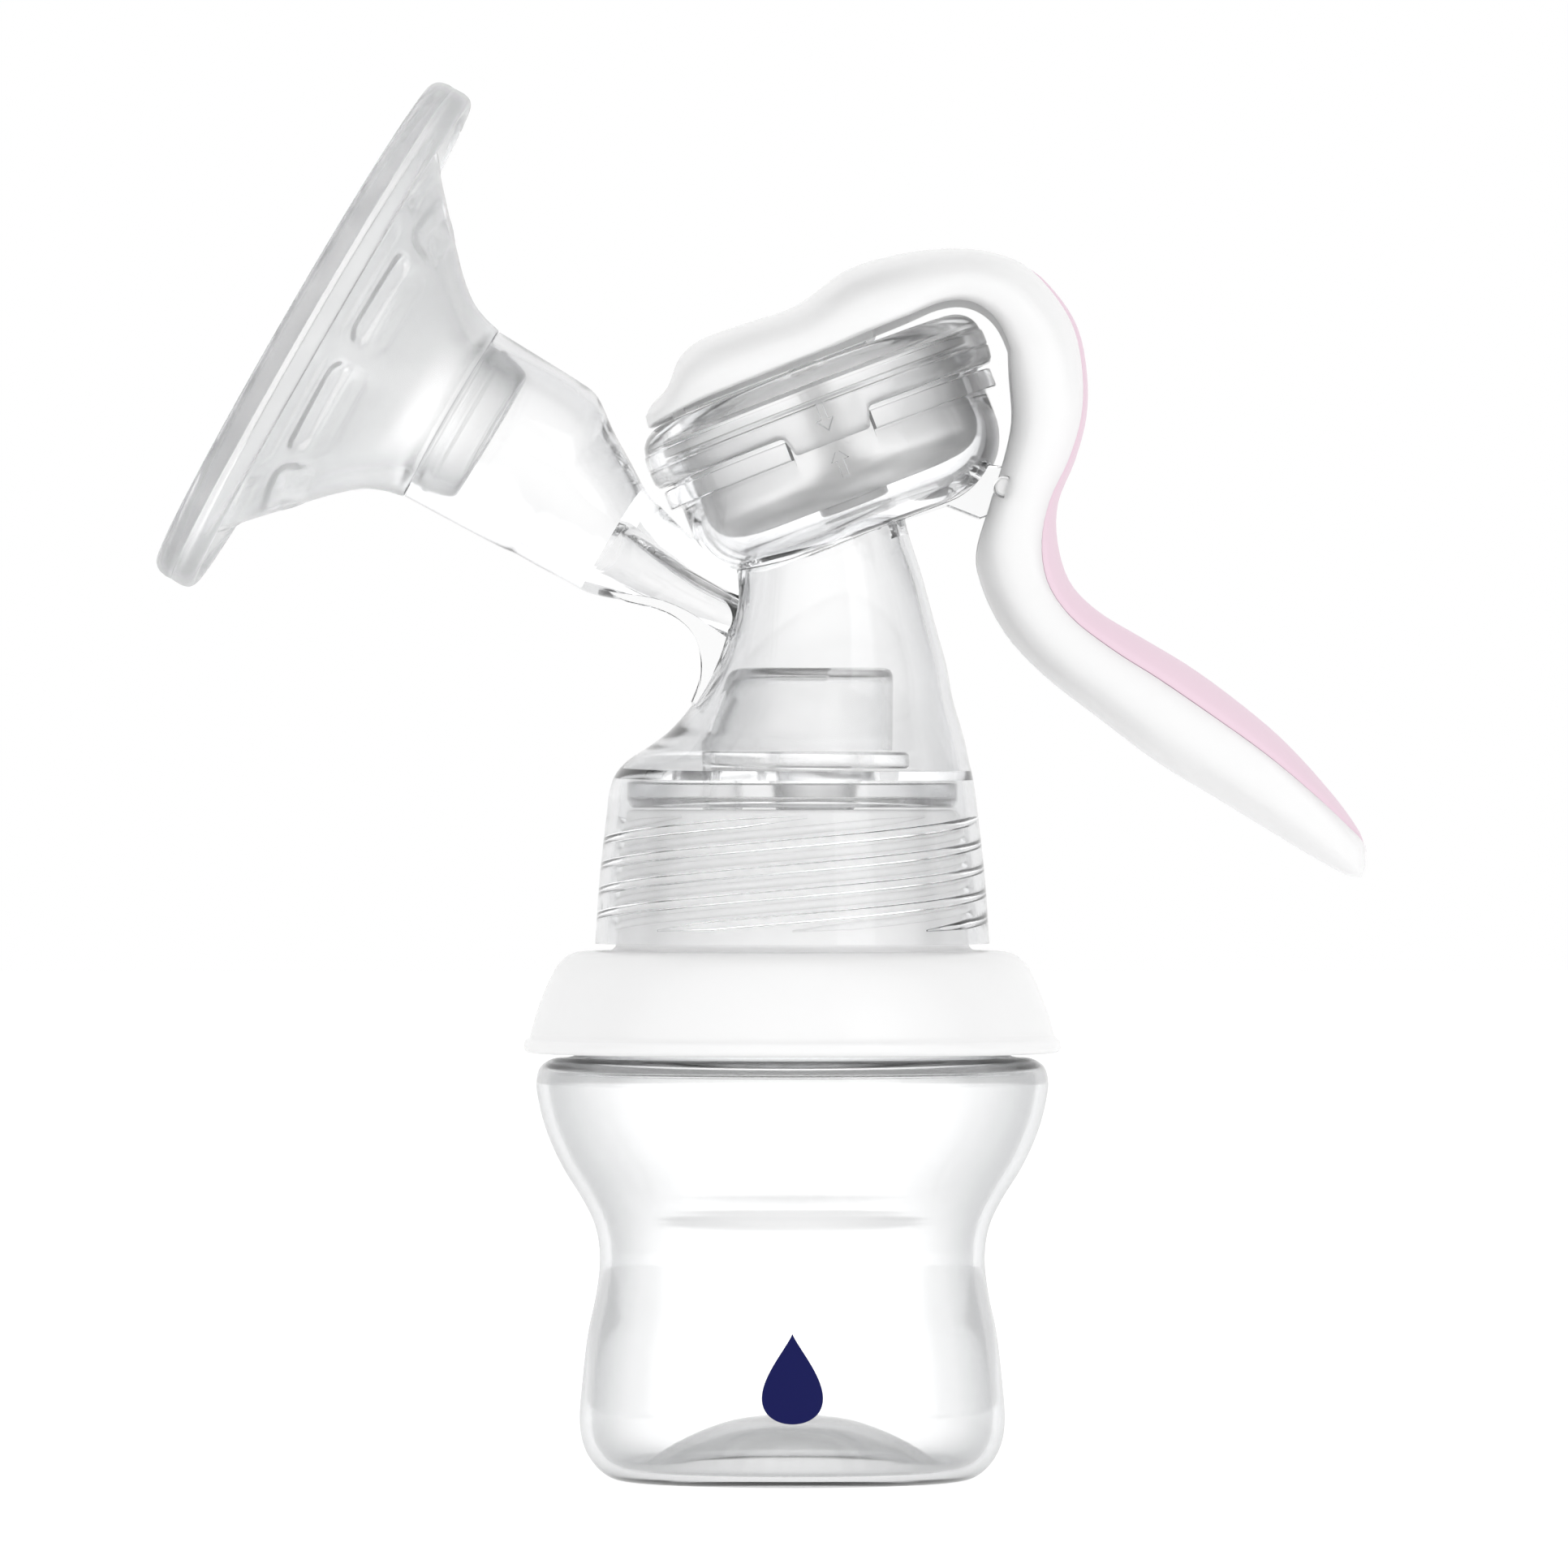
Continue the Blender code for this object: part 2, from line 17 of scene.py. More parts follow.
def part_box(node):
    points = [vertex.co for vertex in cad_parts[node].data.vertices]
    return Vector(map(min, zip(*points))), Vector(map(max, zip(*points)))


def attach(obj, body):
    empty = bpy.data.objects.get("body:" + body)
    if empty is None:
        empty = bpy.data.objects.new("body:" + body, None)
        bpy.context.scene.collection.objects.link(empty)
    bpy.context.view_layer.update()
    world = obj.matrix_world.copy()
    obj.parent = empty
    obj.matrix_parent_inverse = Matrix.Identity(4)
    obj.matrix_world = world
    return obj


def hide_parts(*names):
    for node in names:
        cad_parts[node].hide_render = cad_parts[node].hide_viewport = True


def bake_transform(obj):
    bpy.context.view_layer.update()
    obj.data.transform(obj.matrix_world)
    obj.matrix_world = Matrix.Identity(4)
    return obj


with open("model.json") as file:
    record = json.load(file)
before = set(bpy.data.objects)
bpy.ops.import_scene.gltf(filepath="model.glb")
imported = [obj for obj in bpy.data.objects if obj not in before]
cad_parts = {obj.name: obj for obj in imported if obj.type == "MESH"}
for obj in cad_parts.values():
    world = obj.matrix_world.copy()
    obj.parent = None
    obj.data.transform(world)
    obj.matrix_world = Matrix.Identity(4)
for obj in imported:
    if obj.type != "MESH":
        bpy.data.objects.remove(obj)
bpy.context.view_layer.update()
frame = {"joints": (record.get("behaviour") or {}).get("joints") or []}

# ---------------------------------------------------------------- bottle
# Wide-neck baby bottle of clear polypropylene, stretch-blown: an even wall, a waist to hold it by
# and a base pushed up so that it stands on a ring. Its print is a plain drop in navy ink.

MM = 0.001
TURN_SIDES = 160
BOTTLE_WALL = 1.6
NECK_R, NECK_TOP = 29.0, 69.6

ring_low, ring_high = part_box("adapter_ring")
BOTTLE_AXIS = Matrix.Translation(((ring_low.x + ring_high.x) / 2, 0, 0))


def linear(colour, alpha=1.0):
    """An sRGB hex colour as linear numbers."""
    parts = [int(colour[i : i + 2], 16) / 255 for i in (1, 3, 5)]
    return (*(c / 12.92 if c <= 0.04045 else ((c + 0.055) / 1.055) ** 2.4 for c in parts), alpha)


def add_node(tree, kind, settings=(), links=()):
    """Adds a node with its settings (properties or inputs) and the links into its inputs."""
    made = tree.nodes.new(kind)
    for key, value in dict(settings).items():
        if isinstance(key, int) or key in made.inputs:
            made.inputs[key].default_value = value
        else:
            setattr(made, key, value)
    for key, source in dict(links).items():
        tree.links.new(source, made.inputs[key])
    return made


def new_material(name):
    """An empty material, its node tree and the object's own coordinates."""
    made = bpy.data.materials.new(name)
    made.use_nodes = True
    tree = made.node_tree
    tree.nodes.clear()
    return made, tree, add_node(tree, "ShaderNodeTexCoord").outputs["Object"]


def spline(points, steps=5):
    """A smooth line through the points, with this many steps from each one to the next."""
    line = np.array(points, float)
    line = np.vstack([2 * line[0] - line[1], line, 2 * line[-1] - line[-2]])
    smooth = []
    for a, b, c, d in zip(line, line[1:], line[2:], line[3:]):
        before, along, after = (np.linalg.norm(q - p) ** 0.5 for p, q in ((a, b), (b, c), (c, d)))
        leave = along * ((b - a) / before - (c - a) / (before + along)) + c - b
        arrive = c - b + along * ((d - c) / after - (d - b) / (along + after))
        for t in np.arange(steps) / steps:
            smooth.append(
                (2 * t**3 - 3 * t**2 + 1) * b + (t**3 - 2 * t**2 + t) * leave
                + (3 * t**2 - 2 * t**3) * c + (t**3 - t**2) * arrive
            )
    return [tuple(point) for point in smooth] + [tuple(line[-2])]


def offset_line(line, distance):
    """The line moved sideways, towards its left as it runs."""
    moved = []
    for i, point in enumerate(line):
        along = np.subtract(line[min(i + 1, len(line) - 1)], line[max(i - 1, 0)])
        along = along / np.linalg.norm(along)
        radius = max(point[0] - along[1] * distance, 0) if point[0] > 0 else 0
        moved.append((radius, point[1] + along[0] * distance))
    return moved


def bridge(bm, low, high):
    """Faces between two rings of vertices; a ring of one vertex is a pole."""
    count = max(len(low), len(high))
    for i in range(count):
        j = (i + 1) % count
        if len(low) == 1:
            bm.faces.new((low[0], high[j], high[i]))
        elif len(high) == 1:
            bm.faces.new((low[i], low[j], high[0]))
        else:
            bm.faces.new((low[i], low[j], high[j], high[i]))


def lofted(rings, closed=False):
    """A solid through rings of points; its ends are flat faces, poles, or each other."""
    bm = bmesh.new()
    verts = [[bm.verts.new(Vector(point) * MM) for point in ring] for ring in rings]
    for low, high in zip(verts, verts[1:]):
        bridge(bm, low, high)
    if closed:
        bridge(bm, verts[-1], verts[0])
    else:
        for end in (verts[0], verts[-1]):
            if len(end) > 1:
                bm.faces.new(end)
    bmesh.ops.recalc_face_normals(bm, faces=bm.faces)
    return bm


def turned(outline, sides=TURN_SIDES, shape=None):
    """A turned solid from (radius, height) points: a closed loop, or a line from axis to axis.

    shape(radius, height, angle) may change a point of it."""
    rings = []
    for radius, height in outline:
        around = 1 if radius == 0 else sides
        ring = []
        for a in (math.tau * i / around for i in range(around)):
            r, z = shape(radius, height, a) if shape else (radius, height)
            ring.append((r * math.cos(a), r * math.sin(a), z))
        rings.append(ring)
    return lofted(rings, closed=outline[0][0] > 0)


def piece(name, shape, place, finish, body, slot, *nodes, sharp=35):
    """The finished piece: its place is in its mesh, it rides on a body and stands for CAD nodes."""
    mesh = shape
    if isinstance(shape, bmesh.types.BMesh):
        mesh = bpy.data.meshes.new(name)
        shape.to_mesh(mesh)
        shape.free()
    mesh.name = name
    mesh.transform(place)
    mesh.shade_smooth()
    mesh.set_sharp_from_angle(angle=math.radians(sharp))
    mesh.materials.clear()
    mesh.materials.append(finish)
    obj = bpy.data.objects.new(name, mesh)
    bpy.context.scene.collection.objects.link(obj)
    if body:
        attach(obj, body)
    if nodes:
        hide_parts(*nodes)
    return obj


def painted_edge_shade(tree, tint, painted_edge_shade_colour):
    """Colour of a clear plastic with painted shade: greyer where the eye grazes along the wall."""
    # Painted shade: the colour turns from tint to the edge colour as the surface turns edge-on to the eye.
    grazing = add_node(tree, "ShaderNodeLayerWeight", {"Blend": 0.5})
    return add_node(
        tree, "ShaderNodeMix", {"data_type": "RGBA", 6: linear(tint), 7: linear(painted_edge_shade_colour)},
        {0: grazing.outputs["Facing"]},
    ).outputs[2]


def clear_polypropylene(name, tint, painted_edge_shade_colour, wave_mm, wave_depth_mm, haze, depth_tone, density):
    """Random-copolymer polypropylene: clear with faint flow waves, greyer the thicker it is, and with
    painted shade where the eye grazes along the wall.
    """
    made, tree, coords = new_material(name)
    flow = add_node(
        tree, "ShaderNodeTexNoise", {"Scale": 1000 / wave_mm, "Detail": 1.0, "Roughness": 0.4},
        {"Vector": coords},
    )
    haze_map = add_node(
        tree, "ShaderNodeMapRange", {"To Min": haze * 0.5, "To Max": haze * 1.5},
        {"Value": flow.outputs["Fac"]},
    )
    bump = add_node(
        tree, "ShaderNodeBump", {"Strength": 0.6, "Distance": wave_depth_mm * MM},
        {"Height": flow.outputs["Fac"]},
    )
    shader = add_node(
        tree, "ShaderNodeBsdfPrincipled",
        {"Transmission Weight": 1.0, "IOR": 1.49},
        {
            "Base Color": painted_edge_shade(tree, tint, painted_edge_shade_colour), "Roughness": haze_map.outputs["Result"],
            "Normal": bump.outputs["Normal"],
        },
    )
    depth = add_node(tree, "ShaderNodeVolumeAbsorption", {"Color": linear(depth_tone), "Density": density})
    add_node(
        tree, "ShaderNodeOutputMaterial",
        links={"Surface": shader.outputs["BSDF"], "Volume": depth.outputs["Volume"]},
    )
    return made


# Its second colour is painted shade at grazing edges.
bottle_plastic = clear_polypropylene(
    "blown_clear_polypropylene", "#FEFEFE", "#909294", wave_mm=14, wave_depth_mm=0.02, haze=0.05,
    depth_tone="#BEC1C3", density=18.0,
)

bottle_outside = spline([
    (0, 7.9), (8, 6.9), (14, 4.5), (18, 1.7), (20.2, 0.3), (22.6, 0), (25.2, 0.5), (27.3, 2.1),
    (28.9, 4.8), (29.5, 8.2), (29.1, 14.1), (28.3, 20.8), (27.2, 26), (26.7, 31), (27.3, 35.2),
    (29, 38.9), (31.8, 43.4), (34, 48.2), (35.2, 52.6), (35.5, 55.4), (34.9, 57.5), (33.2, 58.6),
    (30.4, 58.9), (29.2, 59.6), (NECK_R, 60.6),
], 4)
bottle_outside += [(NECK_R, NECK_TOP - 0.4), (NECK_R - 0.4, NECK_TOP)]
bottle_inside = offset_line(bottle_outside[:-4], BOTTLE_WALL)
bottle_inside += [(NECK_R - BOTTLE_WALL, NECK_TOP - 0.4), (NECK_R - BOTTLE_WALL + 0.4, NECK_TOP)]
piece(
    "bottle_shell", turned(bottle_outside + bottle_inside[::-1]), BOTTLE_AXIS,
    bottle_plastic, "pump", "clear_polypropylene", "bottle",
)


def printed_ink(name, colour):
    """Screen-printed ink: opaque, a little uneven in its gloss from the mesh it came through."""
    made, tree, coords = new_material(name)
    # Marks of about half a millimetre, coarser than a real screen's, so that they show.
    mesh_mark = add_node(tree, "ShaderNodeTexNoise", {"Scale": 1800.0, "Detail": 2.0}, {"Vector": coords})
    gloss = add_node(
        tree, "ShaderNodeMapRange", {"To Min": 0.28, "To Max": 0.45}, {"Value": mesh_mark.outputs["Fac"]}
    )
    shader = add_node(
        tree, "ShaderNodeBsdfPrincipled",
        {"Base Color": linear(colour), "IOR": 1.5, "Specular IOR Level": 0.15},
        {"Roughness": gloss.outputs["Result"]},
    )
    add_node(tree, "ShaderNodeOutputMaterial", links={"Surface": shader.outputs["BSDF"]})
    return made


BASE_EDGE_R = 26.0
DROP_MIDDLE, DROP_HALF_HIGH, DROP_HALF_WIDE = 15.2, 6.2, 4.6
DROP_SIDES, DROP_RINGS = 72, 9
INK_STAND, INK_THICK = 0.04, 0.06


def bottle_radius(height):
    """The outside of the bottle's side wall, which is all of the outline beyond the base."""
    radii, heights = zip(*(point for point in bottle_outside if point[0] > BASE_EDGE_R))
    return float(np.interp(height, heights, radii))


def drop_print():
    """A drop-shaped skin of ink that follows the bottle's wall."""
    bm = bmesh.new()
    skins = []
    for stand in (INK_STAND + INK_THICK, INK_STAND):
        rings = []
        for share in np.linspace(0, 1, DROP_RINGS):
            ring = []
            for a in (math.tau * i / DROP_SIDES for i in range(DROP_SIDES if share else 1)):
                x = share * DROP_HALF_WIDE * 1.3 * math.sin(a) * abs(math.sin(a / 2)) ** 1.5
                z = DROP_MIDDLE + share * DROP_HALF_HIGH * math.cos(a)
                y = -math.sqrt((bottle_radius(z) + stand) ** 2 - x * x)
                ring.append(bm.verts.new(Vector((x, y, z)) * MM))
            rings.append(ring)
        for low, high in zip(rings, rings[1:]):
            bridge(bm, low, high)
        skins.append(rings[-1])
    bridge(bm, *skins)
    bmesh.ops.recalc_face_normals(bm, faces=bm.faces)
    return bm


navy_ink = printed_ink("screen_printed_navy_ink", "#0A1052")
piece("bottle_print", drop_print(), BOTTLE_AXIS, navy_ink, "pump", "navy_print", sharp=60)

# ---------------------------------------------------------------- washers
# Two silicone washers: a flat one under the ring's roof on the bottle's lip, and one on top of the
# screw neck with a rim turned down. Both are moulded, frosted by the tool, and lie loose.

ROUND_AT_MOST = 0.45  # share of an edge that a rounded corner may take


def rounded(outline, radius, steps=4):
    """A closed outline with its corners rounded."""
    smooth = []
    for i, corner in enumerate(outline):
        corner = np.array(corner, float)
        back = np.subtract(outline[i - 1], corner)
        ahead = np.subtract(outline[(i + 1) % len(outline)], corner)
        start = corner + back * min(radius / np.linalg.norm(back), ROUND_AT_MOST)
        end = corner + ahead * min(radius / np.linalg.norm(ahead), ROUND_AT_MOST)
        for t in np.linspace(0, 1, steps + 1):
            smooth.append(tuple((1 - t) ** 2 * start + 2 * t * (1 - t) * corner + t * t * end))
    return smooth


def frosted_silicone(name, tint, painted_edge_shade_colour, low, high, grain_mm, cloudy):
    """Liquid silicone rubber from a blasted tool: clear inside, satin and misty outside, with painted shade
    where the eye grazes along it.

    Its roughness runs from low to high over a blasted grain and wider clouds. The grain is drawn
    coarser than real, so that it shows."""
    made, tree, coords = new_material(name)
    grain = add_node(
        tree, "ShaderNodeTexNoise", {"Scale": 1000 / grain_mm, "Detail": 3.0}, {"Vector": coords}
    )
    cloud = add_node(tree, "ShaderNodeTexNoise", {"Scale": 60.0, "Detail": 2.0}, {"Vector": coords})
    both = add_node(
        tree, "ShaderNodeMath", {"operation": "MULTIPLY"},
        {0: grain.outputs["Fac"], 1: cloud.outputs["Fac"]},
    )
    satin = add_node(
        tree, "ShaderNodeMapRange", {"From Max": 0.5, "To Min": low, "To Max": high},
        {"Value": both.outputs[0]},
    )
    bump = add_node(
        tree, "ShaderNodeBump", {"Strength": 0.06, "Distance": 0.02 * MM}, {"Height": grain.outputs["Fac"]}
    )
    shader = add_node(
        tree, "ShaderNodeBsdfPrincipled",
        {"Transmission Weight": 1.0 - cloudy, "IOR": 1.41},
        {
            "Base Color": painted_edge_shade(tree, tint, painted_edge_shade_colour), "Roughness": satin.outputs["Result"],
            "Normal": bump.outputs["Normal"],
        },
    )
    add_node(tree, "ShaderNodeOutputMaterial", links={"Surface": shader.outputs["BSDF"]})
    return made


# Its second colour is painted shade at grazing edges.
clear_silicone = frosted_silicone(
    "frosted_clear_silicone", "#FFFFFF", "#D4D5D7", low=0.1, high=0.18, grain_mm=1.2, cloudy=0.0
)

for washer, outline in (
    ("bottle_seal", [(26.6, NECK_TOP + 0.3), (29.8, NECK_TOP + 0.3), (29.8, 71.0), (26.6, 71.0)]),
    ("skirt_seal", [
        (20.6, 93.3), (22.4, 93.3), (22.9, 94.1), (22.9, 96.6), (22.1, 96.6), (22.1, 94.5),
        (20.2, 94.5), (20.2, 93.9),
    ]),
):
    piece(
        washer + "_washer", turned(rounded(outline, 0.3)), BOTTLE_AXIS,
        clear_silicone, "pump", "clear_silicone", washer,
    )

# ---------------------------------------------------------------- adapter ring
# White collar that screws down over the bottle's lip and carries the tapered screw neck for the
# pump. Opaque polypropylene, injection moulded in a polished tool, so it is white and glossy.

THREAD_LEAD = 13.7  # how far a full turn lifts the pump
THREAD_STARTS = 4
THREAD_LOW, THREAD_HIGH = 76.4, 92.0
CREST_OUT = math.radians(90)  # turns a ridge's crest away from the axis; the other way, towards it
COLLAR_SIDES = 192


def screw_thread_nodes():
    """Nodes that sweep a ridge along a rising spiral and turn a copy of it for each start."""
    tree = bpy.data.node_groups.new("multi_start_thread", "GeometryNodeTree")
    tree.interface.new_socket("Geometry", in_out="OUTPUT", socket_type="NodeSocketGeometry")
    for name, kind in (
        ("Starts", "Int"), ("Lead", "Float"), ("Foot Radius", "Float"), ("Head Radius", "Float"),
        ("Height", "Float"), ("Ridge Width", "Float"), ("Ridge Depth", "Float"), ("Crest Turn", "Float"),
        ("Finish", "Material"),
    ):
        tree.interface.new_socket(name, in_out="INPUT", socket_type="NodeSocket" + kind)
    given = add_node(tree, "NodeGroupInput").outputs
    turns = add_node(tree, "ShaderNodeMath", {"operation": "DIVIDE"}, {0: given["Height"], 1: given["Lead"]})
    path = add_node(
        tree, "GeometryNodeCurveSpiral", {"Resolution": 128, "Reverse": True},
        {
            "Rotations": turns.outputs[0], "Start Radius": given["Foot Radius"],
            "End Radius": given["Head Radius"], "Height": given["Height"],
        },
    )
    level = add_node(tree, "GeometryNodeSetCurveNormal", {"mode": "Z_UP"}, {"Curve": path.outputs[0]})
    crest = add_node(tree, "ShaderNodeMath", {"operation": "MULTIPLY", 1: 0.4}, {0: given["Ridge Width"]})
    profile = add_node(
        tree, "GeometryNodeCurvePrimitiveQuadrilateral", {"mode": "TRAPEZOID", "Offset": 0.0},
        {
            "Bottom Width": given["Ridge Width"], "Top Width": crest.outputs[0],
            "Height": given["Ridge Depth"],
        },
    )
    corner = add_node(tree, "ShaderNodeMath", {"operation": "MULTIPLY", 1: 0.5}, {0: given["Ridge Depth"]})
    eased = add_node(
        tree, "GeometryNodeFilletCurve", {"mode": "POLY", "Count": 4, "Limit Radius": True},
        {"Curve": profile.outputs[0], "Radius": corner.outputs[0]},
    )
    facing = add_node(tree, "ShaderNodeCombineXYZ", links={"Z": given["Crest Turn"]})
    outward = add_node(
        tree, "GeometryNodeTransform", links={"Geometry": eased.outputs[0], "Rotation": facing.outputs[0]}
    )
    along = add_node(tree, "GeometryNodeSplineParameter")
    back = add_node(tree, "ShaderNodeMath", {"operation": "SUBTRACT", 0: 1.0}, {1: along.outputs["Factor"]})
    near_end = add_node(
        tree, "ShaderNodeMath", {"operation": "MINIMUM"}, {0: along.outputs["Factor"], 1: back.outputs[0]}
    )
    run_out = add_node(
        tree, "ShaderNodeMapRange", {"From Max": 0.05, "To Min": 0.2}, {"Value": near_end.outputs[0]}
    )
    ridge = add_node(
        tree, "GeometryNodeCurveToMesh", {"Fill Caps": True},
        {"Curve": level.outputs[0], "Profile Curve": outward.outputs[0], "Scale": run_out.outputs["Result"]},
    )
    starts = add_node(tree, "GeometryNodeMeshLine", {"Offset": (0, 0, 0)}, {"Count": given["Starts"]})
    number = add_node(tree, "GeometryNodeInputIndex")
    step = add_node(tree, "ShaderNodeMath", {"operation": "DIVIDE", 0: math.tau}, {1: given["Starts"]})
    turn = add_node(
        tree, "ShaderNodeMath", {"operation": "MULTIPLY"}, {0: step.outputs[0], 1: number.outputs[0]}
    )
    spin = add_node(tree, "ShaderNodeCombineXYZ", links={"Z": turn.outputs[0]})
    copies = add_node(
        tree, "GeometryNodeInstanceOnPoints",
        links={"Points": starts.outputs[0], "Instance": ridge.outputs[0], "Rotation": spin.outputs[0]},
    )
    real = add_node(tree, "GeometryNodeRealizeInstances", links={"Geometry": copies.outputs[0]})
    done = add_node(
        tree, "GeometryNodeSetMaterial", links={"Geometry": real.outputs[0], "Material": given["Finish"]}
    )
    add_node(tree, "NodeGroupOutput", links={"Geometry": done.outputs[0]})
    return tree


def grown(tree, sizes, place):
    """The shape that a node tree makes with these inputs, as a plain mesh moved to its place."""
    seed = bpy.data.meshes.new("growing")
    helper = bpy.data.objects.new("growing", seed)
    bpy.context.scene.collection.objects.link(helper)
    modifier = helper.modifiers.new("grow", "NODES")
    modifier.node_group = tree
    for item in tree.interface.items_tree:
        if item.name in sizes:
            modifier[item.identifier] = sizes[item.name]
    bpy.context.view_layer.update()
    graph = bpy.context.evaluated_depsgraph_get()
    result = bpy.data.meshes.new_from_object(helper.evaluated_get(graph))
    helper.modifiers.remove(modifier)
    bpy.data.objects.remove(helper)
    bpy.data.meshes.remove(seed)
    bm = bmesh.new()
    bm.from_mesh(result)
    bpy.data.meshes.remove(result)
    return placed(bm, place)


def placed(bm, place):
    bmesh.ops.transform(bm, matrix=place, verts=bm.verts)
    return bm


def carved(shape, *steps):
    """The mesh of a shape after other shapes are joined to it or cut from it, in order."""
    helpers = []
    for bm in (shape, *(other for _, other in steps)):
        mesh = bpy.data.meshes.new("carving")
        bm.to_mesh(mesh)
        bm.free()
        helpers.append(bpy.data.objects.new("carving", mesh))
        bpy.context.scene.collection.objects.link(helpers[-1])
    for (operation, _), helper in zip(steps, helpers[1:]):
        modifier = helpers[0].modifiers.new("carve", "BOOLEAN")
        modifier.operation = operation
        modifier.solver = "MANIFOLD"
        modifier.object = helper
    bpy.context.view_layer.update()
    graph = bpy.context.evaluated_depsgraph_get()
    result = bpy.data.meshes.new_from_object(helpers[0].evaluated_get(graph))
    for helper in helpers:
        old = helper.data
        bpy.data.objects.remove(helper)
        bpy.data.meshes.remove(old)
    return result


PEEL_MM, FLOW_MM, GLOW_DEPTH = 2.0, 25.0, 3.0


def white_polypropylene(name, colour, low, high):
    """Opaque white polypropylene: glossy moulded skin with the faint orange peel of a tool.

    Light runs a few millimetres into it, which softens its shadows."""
    made, tree, coords = new_material(name)
    peel, flow = (
        add_node(tree, "ShaderNodeTexNoise", {"Scale": 1000 / size, "Detail": 2.0}, {"Vector": coords})
        for size in (PEEL_MM, FLOW_MM)
    )
    gloss = add_node(
        tree, "ShaderNodeMapRange", {"From Min": 0.3, "From Max": 0.7, "To Min": low, "To Max": high},
        {"Value": flow.outputs["Fac"]},
    )
    shade = add_node(
        tree, "ShaderNodeMix", {"data_type": "RGBA", 6: linear(colour), 7: linear("#FBFBFB")},
        {0: flow.outputs["Fac"]},
    )
    bump = add_node(
        tree, "ShaderNodeBump", {"Strength": 0.12, "Distance": 0.01 * MM}, {"Height": peel.outputs["Fac"]}
    )
    shader = add_node(
        tree, "ShaderNodeBsdfPrincipled",
        {
            "IOR": 1.49, "Subsurface Weight": 0.6, "Subsurface Radius": (1, 1, 1),
            "Subsurface Scale": GLOW_DEPTH * MM,
        },
        {
            "Base Color": shade.outputs[2], "Roughness": gloss.outputs["Result"],
            "Normal": bump.outputs["Normal"],
        },
    )
    add_node(tree, "ShaderNodeOutputMaterial", links={"Surface": shader.outputs["BSDF"]})
    return made


white_plastic = white_polypropylene("moulded_white_polypropylene", "#FDFDFD", low=0.2, high=0.26)

ring_skin = spline([
    (36.35, 61.75), (36.15, 62.6), (35.8, 63.9), (35.15, 65.9), (34.25, 68.2), (33.2, 70.4),
    (32.1, 72), (30.9, 72.95), (29.4, 73.4), (27.6, 73.5),
], 3)
NECK_FOOT, NECK_HEAD = (24.4, 74.6), (23.0, 92.4)
ring_rim = spline([
    (30.9, 59.35), (35.8, 59.3), (36.7, 59.4), (37.15, 59.8), (37.2, 60.4), (37.1, 61), (36.6, 61.4),
], 2)
ring_hollow = [(21.1, 93), (20.9, 92.7), (21.8, 74), (21.8, 71.3), (30.4, 71.3), (30.4, 59.8)]
ring_outline = (
    ring_rim + ring_skin
    + [(25.6, 73.5), (24.9, 73.7), (24.5, 74.1), NECK_FOOT, NECK_HEAD, (22.7, 92.85), (22.2, 93)]
    + ring_hollow
)


def neck_radius(height):
    radii, heights = zip(NECK_FOOT, NECK_HEAD)
    return float(np.interp(height, heights, radii))


thread_nodes = screw_thread_nodes()
NECK_RIDGE_W, NECK_RIDGE_D, RIDGE_SUNK = 1.8, 1.0, 0.3
neck_ridges = grown(thread_nodes, {
    "Starts": THREAD_STARTS, "Lead": THREAD_LEAD * MM, "Height": (THREAD_HIGH - THREAD_LOW) * MM,
    "Foot Radius": (neck_radius(THREAD_LOW) + NECK_RIDGE_D / 2 - RIDGE_SUNK) * MM,
    "Head Radius": (neck_radius(THREAD_HIGH) + NECK_RIDGE_D / 2 - RIDGE_SUNK) * MM,
    "Ridge Width": NECK_RIDGE_W * MM, "Ridge Depth": NECK_RIDGE_D * MM, "Crest Turn": CREST_OUT,
    "Finish": white_plastic,
}, Matrix.Translation((0, 0, THREAD_LOW * MM)))
piece(
    "adapter_ring_collar", carved(turned(ring_outline, COLLAR_SIDES), ("UNION", neck_ridges)),
    BOTTLE_AXIS, white_plastic, "pump", "white_polypropylene", "adapter_ring", sharp=50,
)

# ---------------------------------------------------------------- valve
# Three soft parts on the body's partition: a disc with the milk's drain tube, the duckbill whose
# lips open under suction, and the hood that keeps milk off it. A little rougher silicone, grey only at
# grazing edges, where shade is painted.

VALVE_SIDES, PIPE_SIDES = 96, 64
GAP = 0.3
DISC_X, DISC_R, DISC_EASE = 1.85, 14.35, 0.4
DRAIN_X, DRAIN_R, DRAIN_WALL = -9.65, 2.75, 0.9
BILL_X, BILL_R, BILL_WALL = 3.15, 6.75, 1.2
HOOD_WALL = 1.2


def ellipse(centre, half_x, half_y, height, sides=VALVE_SIDES):
    turns = [math.tau * i / sides for i in range(sides)]
    return [(centre + half_x * math.cos(a), half_y * math.sin(a), height) for a in turns]


def pipe(centre, radius, low, high):
    """An upright round bar, or the hole for one."""
    return lofted([ellipse(centre, radius, radius, z, PIPE_SIDES) for z in (low, high)])


# Its second colour is painted shade at grazing edges.
valve_rubber = frosted_silicone(
    "clouded_valve_silicone", "#FFFFFF", "#ECEDEE", low=0.12, high=0.2, grain_mm=2.5, cloudy=0.0
)


def hood(shrink, low, high):
    """The hood's outside or its hollow: upright, then drawn in towards the tube's side."""
    stations = [
        (low, 0.75, 13.2), (102.2, 0.75, 13.2), (high - 1, 2.45, 11.5), (high - 0.3, 2.6, 11),
        (high, 2.7, 10.2),
    ]
    return lofted([ellipse(x, r - shrink, r - shrink, z) for z, x, r in stations])


